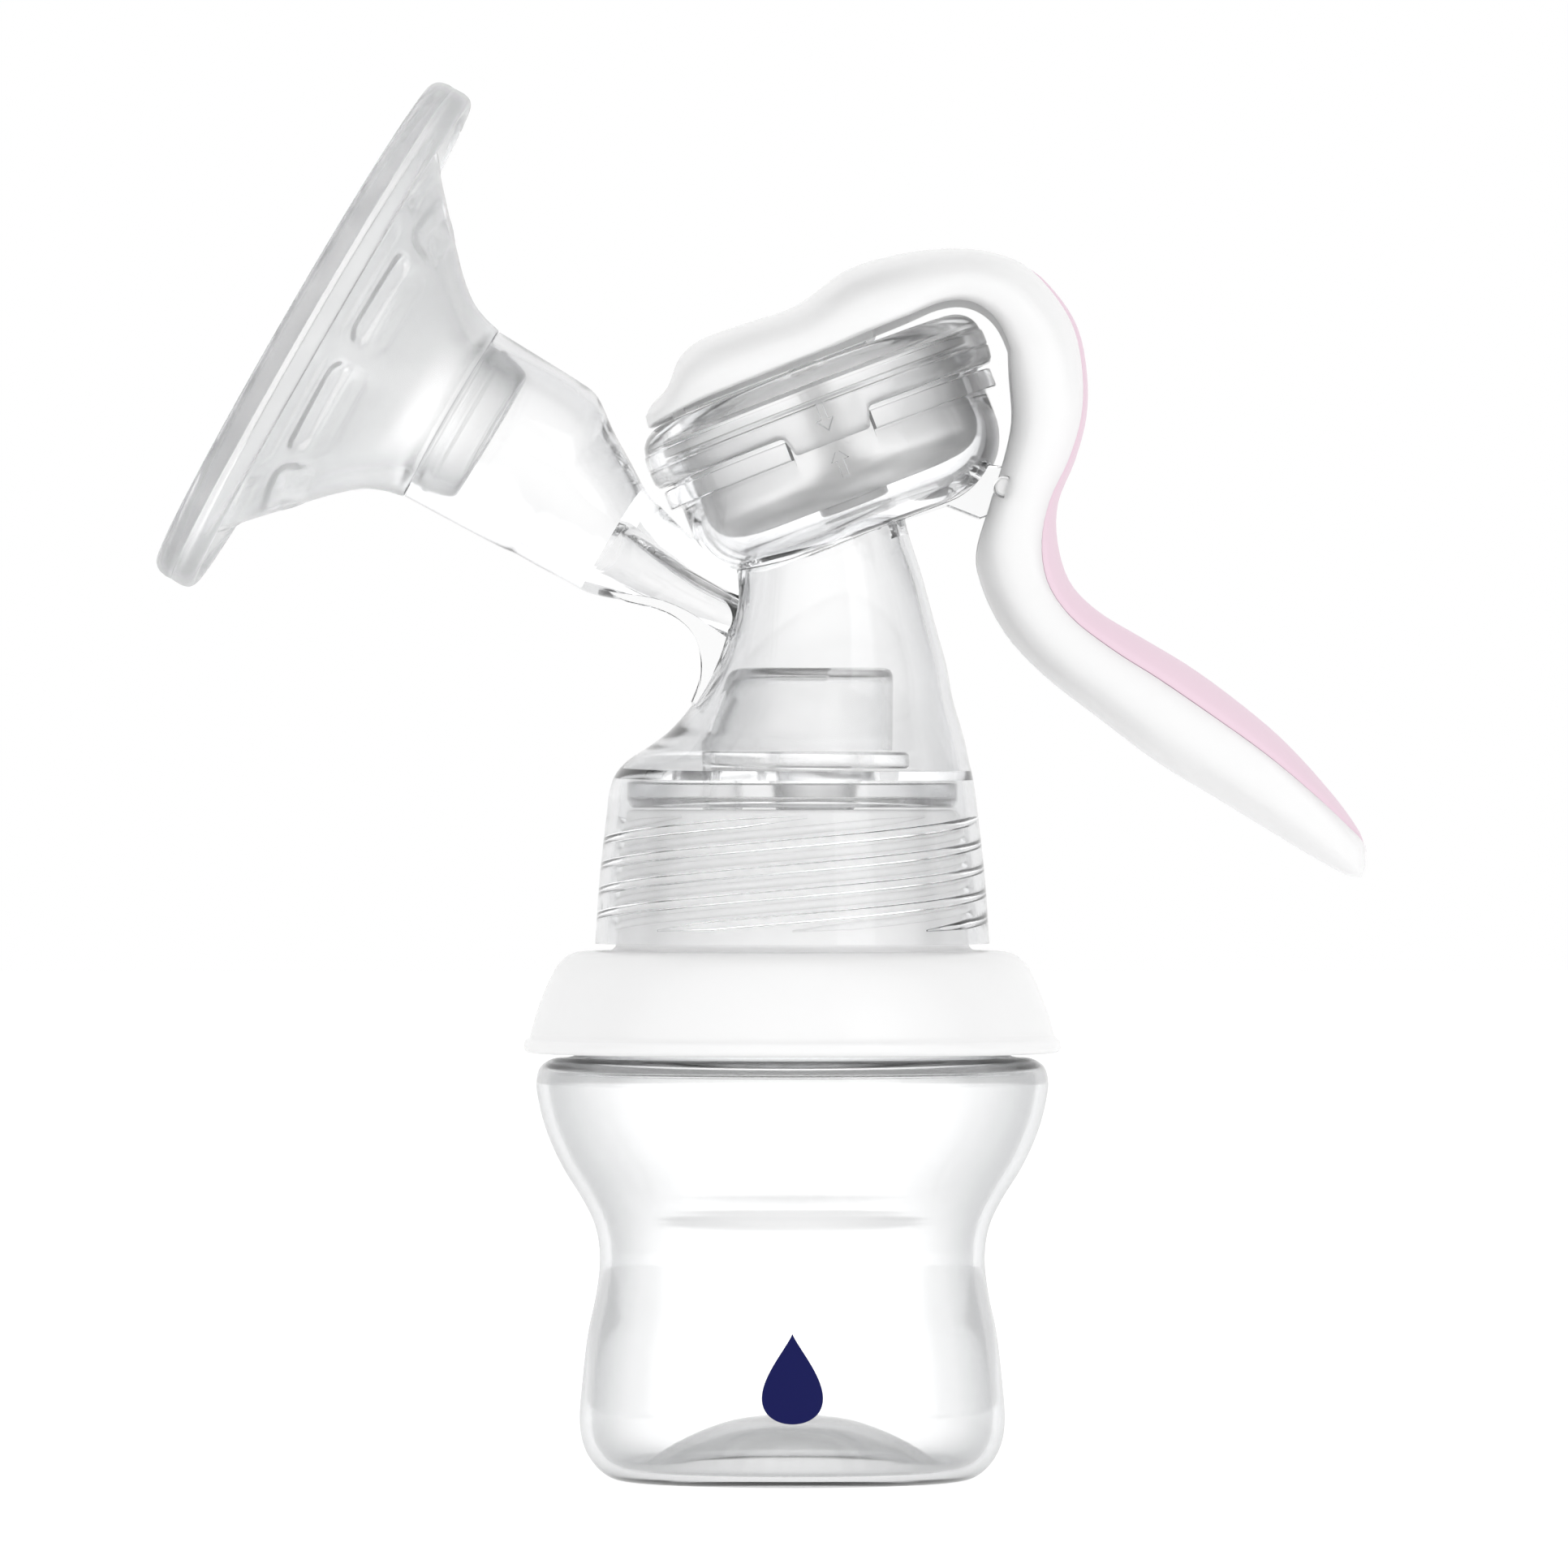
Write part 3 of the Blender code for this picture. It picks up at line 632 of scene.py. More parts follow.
window = lofted([ellipse(-7, 8, 2.6, z, 32) for z in (104, 109)])
hood_steps = [("DIFFERENCE", hood(HOOD_WALL, 99.9, 111.3)), ("DIFFERENCE", window)]
piece(
    "valve_hood", carved(hood(0, 100.9, 112.5), *hood_steps), BOTTLE_AXIS,
    valve_rubber, "pump", "valve_silicone", "valve_baffle",
)
disc_rims = ((98.4, DISC_EASE), (98.7, 0), (100.2, 0), (100.6, DISC_EASE))
seat_disc = lofted([ellipse(DISC_X, DISC_R - ease, DISC_R - ease, z) for z, ease in disc_rims])
seat_steps = [
    ("UNION", pipe(DRAIN_X, DRAIN_R, 89, 99)),
    ("DIFFERENCE", pipe(DRAIN_X, DRAIN_R - DRAIN_WALL, 88, 102)),
    ("DIFFERENCE", pipe(BILL_X, BILL_R - BILL_WALL, 97, 102)),
]
piece(
    "valve_disc", carved(seat_disc, *seat_steps), BOTTLE_AXIS,
    valve_rubber, "pump", "valve_silicone", "valve_seat",
)


def bill(stations):
    """The duckbill's outside or its hollow, from (height, half width, half depth) stations."""
    return lofted([ellipse(BILL_X, rx, ry, z, PIPE_SIDES) for z, rx, ry in spline(stations, 4)])


bill_skin = bill([
    (98.1, BILL_R, BILL_R), (96.2, 6.3, 6.3), (93.4, 5.5, 5.5), (89.5, 4.6, 3.2), (88.2, 4.3, 1.6),
])
bill_hollow = bill([
    (99, 5.75, 5.75), (96.2, 5.3, 5.3), (93.6, 4.5, 4.5), (89.8, 3.6, 2.2), (87.5, 3.2, 0.3),
])
piece(
    "duckbill", carved(bill_skin, ("DIFFERENCE", bill_hollow)), BOTTLE_AXIS,
    clear_silicone, "pump", "clear_silicone", "valve_duckbill",
)

# ---------------------------------------------------------------- pump body
# One clear moulding, polished inside and out: threaded skirt, shoulder and cone, the cup that the
# diaphragm sits in, the tube for the breast shield, the milk's channel and the handle's hinge lug.

BODY_SIDES = 128
BODY_WALL = 1.5
SKIRT_FOOT = 74.5
FLOOR_LOW, FLOOR_HIGH = 96.9, 98.1
CUP_AT, HORN_AT, HORN_TILT = (3.83, 148.16), (-69.19, 160.59), 120.0
CUP_R, CUP_INNER_R, CUP_FLOOR, CUP_LIP = 22.6, 20.9, -18.0, 1.2
FLANGE_R, FLANGE_LOW, FLANGE_HIGH = 24.2, -5.4, -2.7
TUBE_START, BORE_END = 25.5, 52.9
AIR_PORT_R = 5.0
LUG_HALF, PIN_R = 6.0, 1.25
KEY_HALF_ANGLE = 14.0

joints = {joint["name"]: joint for joint in frame["joints"]}
ROD_AXIS = Vector(joints["rod_pull"]["axis"]).normalized()
CUP_TILT = math.degrees(math.atan2(ROD_AXIS.x, ROD_AXIS.z))


def tilted(at, degrees):
    """A frame whose Z lies in the pump's middle plane, turned from upright about Y."""
    centre = Matrix.Translation(Vector((at[0], 0, at[1])) * MM)
    return centre @ Matrix.Rotation(math.radians(degrees), 4, "Y")


CUP, HORN = tilted(CUP_AT, CUP_TILT), tilted(HORN_AT, HORN_TILT)

# Height, middle and radius of the skirt, shoulder and cone.
cone_stations = spline([
    (SKIRT_FOOT, 0, 27.35), (83.8, 0, 26.7), (92.8, 0, 25.7), (95.6, 0, 25.35), (97.9, 0.2, 24.75),
    (99.8, 0.8, 23.7), (101.8, 2.1, 22), (104.1, 3.3, 20.2), (108.6, 4.5, 17.7), (113, 5.2, 16.2),
    (118, 5.3, 14.7), (125.4, 5, 13), (133, 4.3, 11.4), (137, 4.3, 11.2),
], 6)


def skirt_radius(height):
    levels, _, radii = zip(*cone_stations)
    return float(np.interp(height, levels, radii))


def cone(wall, low, high):
    """Skirt, shoulder and cone, or the hollow in them: the circles lean as they rise."""
    levels, middles, radii = zip(*cone_stations)
    rings = []
    for z in np.unique(np.clip((low, *levels, high), low, high)):
        x = float(np.interp(z, levels, middles))
        r = float(np.interp(z, levels, radii)) - wall
        rings.append(ellipse(x, r, r, float(z), BODY_SIDES))
    return lofted(rings)


def arc_points(centre, radius, start, end, steps):
    """Points on an arc, its angles in degrees from the first axis."""
    turns = np.radians(np.linspace(start, end, steps + 1))
    return [(centre[0] + radius * math.cos(a), centre[1] + radius * math.sin(a)) for a in turns]


def plate(outline, half, edge=0.6):
    """An outline of (x, z) points in the middle plane, thick along Y, with eased edges."""
    middle = np.mean(outline, axis=0)
    size = np.abs(np.array(outline) - middle).max()
    small = [tuple(middle + (np.array(point) - middle) * (1 - edge / size)) for point in outline]
    sections = ((small, -half), (outline, -half + edge), (outline, half - edge), (small, half))
    return lofted([[(x, y, z) for x, z in line] for line, y in sections])


def bar_across(x, z, radius, half, sides=48):
    turns = [math.tau * i / sides for i in range(sides)]
    circle = [(x + radius * math.cos(a), z + radius * math.sin(a)) for a in turns]
    return lofted([[(across, y, up) for across, up in circle] for y in (-half, half)])


def horn(stations, steps=5):
    """Ellipses along the horn: (distance, drop below the axis, half height, half width)."""
    line = spline(stations, steps)
    return placed(lofted([ellipse(drop, high, wide, z, BODY_SIDES) for z, drop, high, wide in line]), HORN)


cup_outside = [(0, CUP_FLOOR), *arc_points((13.6, -9), 9, -90, 0, 14), (CUP_R, FLANGE_LOW - 0.3)]
cup_outside += rounded(
    [(CUP_R, FLANGE_LOW), (FLANGE_R, FLANGE_LOW), (FLANGE_R, FLANGE_HIGH), (CUP_R, FLANGE_HIGH)], 0.35, 3
)[2:-2]
cup_outside += [(CUP_R, FLANGE_HIGH + 0.4), (CUP_R, CUP_LIP - 0.3), (CUP_R - 0.3, CUP_LIP), (0, CUP_LIP)]
cup_inside = [(0, -16.3), *arc_points((13.3, -8.7), 7.6, -90, 0, 14), (CUP_INNER_R, 3), (0, 3)]

saddle = spline([
    (-26, 123.6), (-23.3, 122.1), (-19.5, 121.2), (-16.2, 119.8), (-13.8, 117.6), (-12.6, 114.4),
    (-12.7, 110.8), (-13.9, 107.6),
], 4) + [(-9, 105), (-5, 112), (-5, 124), (-14, 127)]
lug = [
    (17, 139), (25.8, 140.9), *arc_points((28.9, 137.6), 3, 80, -75, 14),
    (25.9, 133.3), (21.3, 135.1), (15, 133),
]


def ring_block(inner, outer, low, high, middle, half_angle, steps=10):
    """A curved block: part of a ring about Z, between two angles in degrees."""
    rings = []
    for a in np.radians(np.linspace(middle - half_angle, middle + half_angle, steps)):
        corners = ((inner, low), (outer, low), (outer, high), (inner, high))
        rings.append([(r * math.cos(a), r * math.sin(a), z) for r, z in corners])
    return lofted(rings)


def arrow(up, middle, skin):
    """A raised arrow on the front of the cup or the cap, whose wall stands at this radius."""
    half = [(0.5, -2.1), (0.5, 0.4), (1.3, 0.4), (0, 2.1)]
    outline = half + [(-x, z) for x, z in half[-2::-1]]
    outline = [(x, middle + (z if up else -z)) for x, z in outline]
    return placed(plate(outline, 0.5, 0.25), Matrix.Translation((0, -(skin - 0.1) * MM, 0)))


hinge_at = Vector(joints["handle_squeeze"]["pos_m"]) / MM
HINGE = (hinge_at.x - BOTTLE_AXIS.translation.x / MM, hinge_at.z)

tube = [
    (TUBE_START, 0, 13.15, 13.15), (32, 0, 12.95, 12.95), (38, 0, 12.75, 12.75), (41, 0.05, 12.5, 12.55),
    (42.6, 0.35, 12, 12.4), (45.8, 1.5, 10.8, 11.9), (50.3, 2.8, 9.35, 10.9), (54.2, 3.9, 8.1, 9.4),
    (57.6, 3.9, 7.05, 7.9), (62.6, 3.7, 5.6, 6.4), (67, 3.6, 5.2, 5.8), (75, 4.2, 5.2, 5.6),
]
bore = [
    (TUBE_START - 1, 0, 11.45, 11.45), (41.5, 0, 10.9, 10.9), (45.8, 1.6, 9.2, 10.2),
    (50.3, 2.8, 7.7, 9.2), (BORE_END, 3.5, 6.8, 8.3),
]
channel = [(BORE_END - 1, 5.2, 3.2, 3.2), (64, 5, 2.4, 2.4), (78, 4.7, 2, 2)]
# Its second colour is painted shade at grazing edges.
body_plastic = clear_polypropylene(
    "moulded_clear_polypropylene", "#FFFFFF", "#CDCED0", wave_mm=20, wave_depth_mm=0.012, haze=0.05,
    depth_tone="#BEC1C3", density=9.0,
)
SKIRT_RIDGE_W, SKIRT_RIDGE_D = 2.3, 1.0
skirt_middle = RIDGE_SUNK - SKIRT_RIDGE_D / 2 - BODY_WALL
skirt_ridges = grown(thread_nodes, {
    "Starts": THREAD_STARTS, "Lead": THREAD_LEAD * MM, "Height": (THREAD_HIGH - THREAD_LOW) * MM,
    "Foot Radius": (skirt_radius(THREAD_LOW) + skirt_middle) * MM,
    "Head Radius": (skirt_radius(THREAD_HIGH) + skirt_middle) * MM,
    "Ridge Width": SKIRT_RIDGE_W * MM, "Ridge Depth": SKIRT_RIDGE_D * MM, "Crest Turn": -CREST_OUT,
    "Finish": body_plastic,
}, Matrix.Translation((0, 0, THREAD_LOW * MM)) @ Matrix.Rotation(math.pi / THREAD_STARTS, 4, "Z"))
body_steps = [
    ("UNION", horn(tube)),
    ("UNION", plate(saddle, 4)),
    ("UNION", plate(lug, LUG_HALF)),
    ("DIFFERENCE", cone(BODY_WALL, SKIRT_FOOT - 1, 97.5)),
    ("DIFFERENCE", cone(BODY_WALL, 97.4, 139)),
    ("UNION", skirt_ridges),
    ("UNION", lofted([ellipse(0, 24, 24, z) for z in (FLOOR_LOW, FLOOR_HIGH)])),
    ("UNION", placed(turned(cup_outside), CUP)),
    ("UNION", placed(arrow(True, -8.0, CUP_R), CUP)),
    ("DIFFERENCE", placed(turned(cup_inside), CUP)),
    ("DIFFERENCE", horn(bore)),
    ("DIFFERENCE", horn(channel)),
    ("DIFFERENCE", placed(pipe(0, AIR_PORT_R, -20, -15), CUP)),
    ("DIFFERENCE", bar_across(*HINGE, PIN_R + GAP, LUG_HALF + 1)),
]
for x, radius in ((DRAIN_X, DRAIN_R), (BILL_X, BILL_R)):
    body_steps.append(("DIFFERENCE", pipe(x, radius + GAP, FLOOR_LOW - 2, FLOOR_HIGH + 2)))
for middle in (-90, 90):
    notch = ring_block(
        CUP_R - 0.1, FLANGE_R + 1, FLANGE_LOW - 1, FLANGE_HIGH + 1, middle, KEY_HALF_ANGLE + 1
    )
    body_steps.append(("DIFFERENCE", placed(notch, CUP)))

piece(
    "pump_body_shell", carved(cone(0, SKIRT_FOOT, 137), *body_steps), BOTTLE_AXIS,
    body_plastic, "pump", "clear_polypropylene", "pump_body", sharp=28,
)

# ---------------------------------------------------------------- breast shield
# One soft silicone moulding: rolled rim with a parting line, funnel with raised massage pads, and
# the sleeve that plugs into the tube with two snap beads. Satin outside from a blasted tool.

SHIELD_SIDES = 192
PADS_ROUND = 8
PAD_ROWS = ((29.2, 0.325), (22.3, 0.31))  # radius, and half the angle that a pad takes up
PAD_ROUNDING, PAD_FLAT, PAD_EDGE = 1.4, 1.0, 1.6
PAD_RISE, PAD_SWELL = 0.7, 0.25  # rise inside, and its share that shows outside
FUNNEL_INNER, FUNNEL_OUTER = 19, 33
FUNNEL_NORMAL = (0.63, 0.78)
FINE_STEP = 0.45

shield_outline = (
    spline([
        (34.6, 3.45), (32.4, 3.9), (30.6, 5.3), (27.5, 7.8), (24.1, 10.9), (20.7, 14), (17.4, 17.2),
        (15.1, 20), (13.9, 22.6), (13.3, 25.1),
    ], 4)
    + [(13.1, 25.3), (11.2, 25.3), (10.95, 25.6), (10.9, 26.8)]
    + [(11.2, 27.2), (11.2, 27.6), (10.85, 28), (10.8, 28.4)]
    + spline([(10.4, 30), (9.9, 31.2), (9.3, 31.6), (8.75, 31.3), (8.7, 30.4)], 2)
    + spline([
        (9, 27.5), (9.8, 24.2), (11.3, 21), (13.8, 17.4), (17.8, 13.2), (22.2, 9.2), (26.5, 5.6), (30.5, 3),
        (34.2, 1.2), (37, 0.15), (38.2, 0.25), (39, 1.1), (39.3, 2.3),
    ], 4)
    + [(39.25, 3.0), (39.12, 3.15), (39.25, 3.3)]
    + spline([(39.3, 4.7), (38.95, 5.8), (38.1, 6.35), (37.3, 6.05), (36.9, 5), (36.5, 4), (35.6, 3.5)], 3)
)


def smooth_step(value, low, high):
    share = min(max((value - low) / (high - low), 0), 1)
    return share * share * (3 - 2 * share)


def massage_pads(radius, height, angle):
    """Raises the pads on the funnel's inside, with a slight swell outside."""
    lift = 0
    for pad_radius, half_angle in PAD_ROWS:
        turn = (angle - math.pi / PADS_ROUND) * PADS_ROUND / math.tau
        along = abs(turn - round(turn)) * math.tau / PADS_ROUND * pad_radius
        straight = half_angle * pad_radius
        away = math.hypot(max(along - straight + PAD_ROUNDING, 0), radius - pad_radius)
        lift = max(lift, 1 - smooth_step(away, PAD_FLAT, PAD_EDGE))
    if radius > FUNNEL_OUTER or radius < FUNNEL_INNER:
        lift = 0
    middle_of_wall = 5.2 + 0.82 * (PAD_ROWS[0][0] - radius)
    lift *= PAD_SWELL * PAD_RISE if height > middle_of_wall else -PAD_RISE
    return radius + FUNNEL_NORMAL[0] * lift, height + FUNNEL_NORMAL[1] * lift


# Its second colour is painted shade at grazing edges.
shield_silicone = frosted_silicone(
    "blasted_shield_silicone", "#FFFFFF", "#BABCBE", low=0.16, high=0.24, grain_mm=1.2, cloudy=0.12
)
fine_outline = []
for (r0, z0), (r1, z1) in zip(shield_outline, shield_outline[1:] + shield_outline[:1]):
    parts = max(1, round(math.hypot(r1 - r0, z1 - z0) / FINE_STEP)) if min(r0, r1) > 20 else 1
    fine_outline += [(r0 + (r1 - r0) * k / parts, z0 + (z1 - z0) * k / parts) for k in range(parts)]
piece(
    "breast_shield", turned(fine_outline, SHIELD_SIDES, massage_pads), BOTTLE_AXIS @ HORN,
    shield_silicone, "pump", "clear_silicone", "shield_cushion", sharp=50,
)

# ---------------------------------------------------------------- diaphragm, plate and rod
# The diaphragm is a thin silicone bowl, clamped by the cap and pulled up in its middle by a white
# rod whose T-bar hooks into the handle. A plate snaps onto the rod above the silicone.

ROD_R, TEE_R, TEE_HALF, TEE_AT = 2.0, 1.3, 6.0, 10.25
bowl = (
    [(22.3, 1.5), (22.3, 3.2), (22.0, 3.35), (19.2, 3.35), (19, 3.1)]
    + [(18.95, 1), (18.85, -4)]
    + spline([(18.8, -8.3), (18.3, -9.7), (17.2, -10.8), (15.8, -11.5), (14.3, -11.8)], 4)
    + [(9, -11.8), (2.6, -11.8), (2.6, -13), (9, -13)]
    + spline([(14.8, -13), (16.7, -12.6), (18.4, -11.7), (19.5, -10.3), (19.95, -8.7)], 4)
    + [(20.1, -4), (20.2, 1.3)]
)
# Its second colour is painted shade at grazing edges.
bowl_silicone = frosted_silicone(
    "milky_bowl_silicone", "#FFFFFF", "#F6F6F6", low=0.26, high=0.36, grain_mm=2.0, cloudy=0.02
)
cup_world = BOTTLE_AXIS @ CUP
diaphragm = piece(
    "diaphragm_bowl", turned(bowl), cup_world, bowl_silicone, None, "clear_silicone", "diaphragm"
)
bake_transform(diaphragm)

plate_outline = rounded([
    (2.3, -11.5), (9, -11.5), (9, -10.5), (7.5, -9.9), (4, -9.9), (3.4, -8), (2.3, -8),
], 0.3)
piece(
    "diaphragm_plate", turned(plate_outline, 96), cup_world,
    white_plastic, "rod", "white_polypropylene", "rod_plate",
)
rod_outline = [
    (0, -14.9), (4.7, -14.9), (5, -14.6), (5, -13.6), (4.7, -13.3), (ROD_R, -13.3), (ROD_R, TEE_AT),
    (0, TEE_AT + 0.6),
]
piece(
    "t_bar_rod", carved(turned(rod_outline, 64), ("UNION", bar_across(0, TEE_AT, TEE_R, TEE_HALF))),
    cup_world, white_plastic, "rod", "white_polypropylene", "pull_rod",
)

# ---------------------------------------------------------------- cap
# Clear ring that snaps over the cup and clamps the diaphragm. Its lower edge drops into two
# tongues that key it to the cup's flange; fine steps run round it, and an arrow shows the key.

cap_outline = (
    [(23.3, -1.9), (23.5, -2.1)]
    + [(24.3, -2.1), (24.6, -1.9), (24.95, -1.3), (25.05, -0.6), (25.1, 0.3), (24.95, 0.5), (25.1, 0.7)]
    + spline([
        (25.1, 1.4), (25, 2.6), (24.85, 2.75), (24.6, 3.8), (23.9, 4.9), (22.8, 5.7), (21.6, 6.05),
        (20, 6.1),
    ], 3)
    + [(17.3, 6.1), (17, 5.8), (17, 4.9), (17.2, 4.6), (18.4, 3.5), (22.9, 3.5), (23.3, 3)]
)
CAP_SIDES = 360
TONGUE_DROP, TONGUE_FADE = 2.9, 1.5


def tongues(radius, height, angle):
    """Drops the lower edge at the front and the back, with the S-curved ends of a tongue."""
    across = abs((math.degrees(angle) + 90) % 180)
    across = min(across, 180 - across)
    low = 1 - smooth_step(height, -2.1, 0.3) if radius > 23 else 0
    share = 1 - smooth_step(across, KEY_HALF_ANGLE - TONGUE_FADE, KEY_HALF_ANGLE + TONGUE_FADE)
    return radius, height - TONGUE_DROP * low * share


# Its second colour is painted shade at grazing edges.
cap_plastic = clear_polypropylene(
    "cap_clear_polypropylene", "#FFFFFF", "#E0E1E2", wave_mm=16, wave_depth_mm=0.012, haze=0.08,
    depth_tone="#BEC1C3", density=8.0,
)
piece(
    "clear_cap", carved(turned(cap_outline, CAP_SIDES, tongues), ("UNION", arrow(False, -1.3, 25.0))),
    cup_world, cap_plastic, "pump", "clear_polypropylene", "cap_ring",
)

# ---------------------------------------------------------------- handle
# White polypropylene shell: a domed head over the cap, a bent neck with the hinge cheeks and a
# grip. It is cored out on its inner side, and a guide with the T-bar's slot stands in the head.

SHELL_WALL, NECK_WALL = 1.8, 3.2
HOLLOW_FROM, HOLLOW_TO = 2, 18.75
SLOT_LEFT, SLOT_RIGHT, SLOT_LOW, SLOT_HIGH = -15.5, 9.5, 8.2, 12.3
HEAD_UNDERSIDE = 6.7
PIN_HALF = 9.9
SECTION_SIDES = 72
FINE = 4  # rings made from one handle station to the next

# Stations along the handle: inner and outer side in the middle plane, half width, and how far
# from the inner to the outer side its section is widest.
handle_rows = [
    (-19.9, 146, -20.3, 147.5, 6, 0.2), (-19.1, 146.1, -19.5, 149.1, 12.5, 0.18),
    (-16.4, 147.3, -17.3, 151.5, 18, 0.15), (-12.1, 149.1, -15.5, 155.8, 21.5, 0.13),
    (-7.4, 150.9, -12.5, 158.2, 23.5, 0.12), (-1.8, 153.1, -6.5, 160.4, 24.5, 0.12),
    (4.4, 155.6, 0.5, 162.8, 24.5, 0.12), (10.6, 158.1, 7.2, 167.6, 24, 0.13),
    (16.2, 160.3, 14, 169.8, 22.5, 0.15), (20.1, 161.9, 20.7, 170.7, 20.5, 0.2),
    (23, 162.2, 26.9, 170.4, 18.5, 0.26), (25.2, 161.3, 32.2, 168.5, 16.8, 0.32),
    (26.9, 159.4, 36.3, 164.8, 15.4, 0.38), (28.1, 156.1, 39.5, 159.8, 14.2, 0.43),
    (29.1, 151.9, 40.8, 153.3, 13.2, 0.47), (29.5, 146.8, 40.7, 147.4, 12.4, 0.5),
    (28.7, 141.8, 39.2, 141.6, 11.8, 0.5), (26.8, 135.9, 36.8, 135.6, 11.2, 0.5),
    (25.3, 129.9, 36.7, 130.2, 10.8, 0.5), (26.1, 124.3, 38.3, 124.8, 10.6, 0.5),
    (29.3, 117.7, 42.1, 120.7, 10.8, 0.5), (34.8, 111.7, 48.3, 116.9, 11.2, 0.5),
    (41.7, 106.3, 54.5, 113.2, 11.8, 0.5), (50.6, 99.6, 60.9, 108.6, 12.2, 0.5),
    (59, 94.5, 67.4, 103.2, 11.6, 0.5), (66.8, 89.7, 73, 97.3, 10.4, 0.5),
    (73, 86, 77.3, 91.9, 8.6, 0.5), (77, 83.9, 79.4, 88.1, 6, 0.5), (78.8, 83.6, 79.4, 85.4, 3, 0.5),
]
handle_line = [
    (Vector((xi, 0, zi)), Vector((xo, 0, zo)), half, belly)
    for xi, zi, xo, zo, half, belly in spline(handle_rows, FINE)
]


def handle_point(inner, outer, half, belly, turn, squareness=2.5):
    """A point on the handle's round-cornered cross-section; a quarter turn is its outer side."""
    across = math.copysign(abs(math.cos(turn)) ** (2 / squareness), math.cos(turn))
    height = abs(math.sin(turn)) ** (2 / squareness)
    level = belly + (1 - belly) * height if math.sin(turn) >= 0 else belly * (1 - height)
    return inner.lerp(outer, level) + Vector((0, half * across, 0))


def handle_section(inner, outer, half, belly, sides=SECTION_SIDES, squareness=2.5):
    turns = [math.tau * i / sides for i in range(sides)]
    return [handle_point(inner, outer, half, belly, turn, squareness) for turn in turns]


def handle_hollow():
    """The coring, open on the inner side; it narrows down the neck and tapers out at its end."""
    narrow = spline([
        (13, 12.3), (14, 9.5), (15, 8.4), (16, 7.4), (17.4, 7.1), (18, 5.6), (HOLLOW_TO, 1),
    ], 4)
    rings = []
    for k in range(HOLLOW_FROM * FINE, int(HOLLOW_TO * FINE) + 1):
        inner, outer, half, belly = handle_line[k]
        along = (outer - inner).normalized()
        at = k / FINE
        roof = float(np.interp(at, (10, 12), (SHELL_WALL, NECK_WALL)))
        room = half - SHELL_WALL if at <= 13 else float(np.interp(at, *zip(*narrow)))
        rings.append(handle_section(inner - along, outer - along * roof, room, belly, 48, 5))
    return lofted(rings)


# Where the inlay's edge lies at each station, as a share of the way to the outer side.
inlay_edges = [
    (11, 0.999), (12, 0.975), (13, 0.965), (14, 0.96), (15, 0.95), (16, 0.93), (17, 0.89), (18, 0.82),
    (19, 0.76), (20, 0.72), (21, 0.7), (22, 0.71), (23, 0.73), (24, 0.75), (25, 0.79), (26, 0.86),
    (27, 0.999),
]


def inlay_strip(depth, lift, spread, ends=0.0, sides=40):
    """The strip over the outer side of neck and grip, or the bed cut for it.

    It stands proud by lift, less at its edges and ends, and spread widens it at the sides."""
    edges = spline(inlay_edges, FINE)
    rings = []
    for k, (at, edge) in enumerate(edges):
        inner, outer, half, belly = handle_line[round(at * FINE)]
        along = (outer - inner).normalized()
        start = math.asin(min(max((edge - spread - belly) / (1 - belly), 0), 1) ** 1.25)
        near_end = min(k, len(edges) - 1 - k)
        rise = lift if near_end > 1 else lift - ends * (2 - near_end) / 2
        turns = np.linspace(start, math.pi - start, sides)
        over = []
        for j, turn in enumerate(turns):
            eased = rise - ends * max(0, 1 - min(j, sides - 1 - j) / 2)
            over.append(handle_point(inner, outer + along * eased, half + eased, belly, turn))
        under = [handle_point(inner, outer - along * depth, half - depth, belly, turn) for turn in turns]
        rings.append(over + under[::-1])
    return lofted(rings)


head_guide = rounded([
    (-17.6, HEAD_UNDERSIDE), (-17, 9.4), (-15.6, 12.3), (-11, 13.8), (2, 13.6), (11, 15),
    (11, HEAD_UNDERSIDE),
], 0.6)
TEE_ROOM, ROD_ROOM = TEE_HALF + 0.6, ROD_R + 0.5
slot_cuts = (
    (SLOT_LEFT, SLOT_RIGHT, SLOT_LOW, SLOT_HIGH, TEE_ROOM, 0.2),
    (SLOT_LEFT, 6, 5, 9, ROD_ROOM, 0.1),
    (3, SLOT_RIGHT, 5, 9, TEE_ROOM, 0.2),
)
handle_steps = [("DIFFERENCE", handle_hollow()), ("UNION", placed(plate(head_guide, 9, 0.3), CUP))]
for left, right, low, high, half, edge in slot_cuts:
    opening = plate([(left, low), (left, high), (right, high), (right, low)], half, edge)
    handle_steps.append(("DIFFERENCE", placed(opening, CUP)))
handle_steps += [
    ("DIFFERENCE", inlay_strip(1.3, 1.5, 0.02)),
    ("DIFFERENCE", bar_across(*HINGE, PIN_R + GAP, PIN_HALF + GAP)),
]
piece(
    "handle_casing", carved(lofted([handle_section(*station) for station in handle_line]), *handle_steps),
    BOTTLE_AXIS, white_plastic, "handle", "white_polypropylene", "handle_shell", sharp=40,
)


SPARK_MM, TONE_MM = 0.4, 20.0  # the tool's spark marks, and slow changes of tone


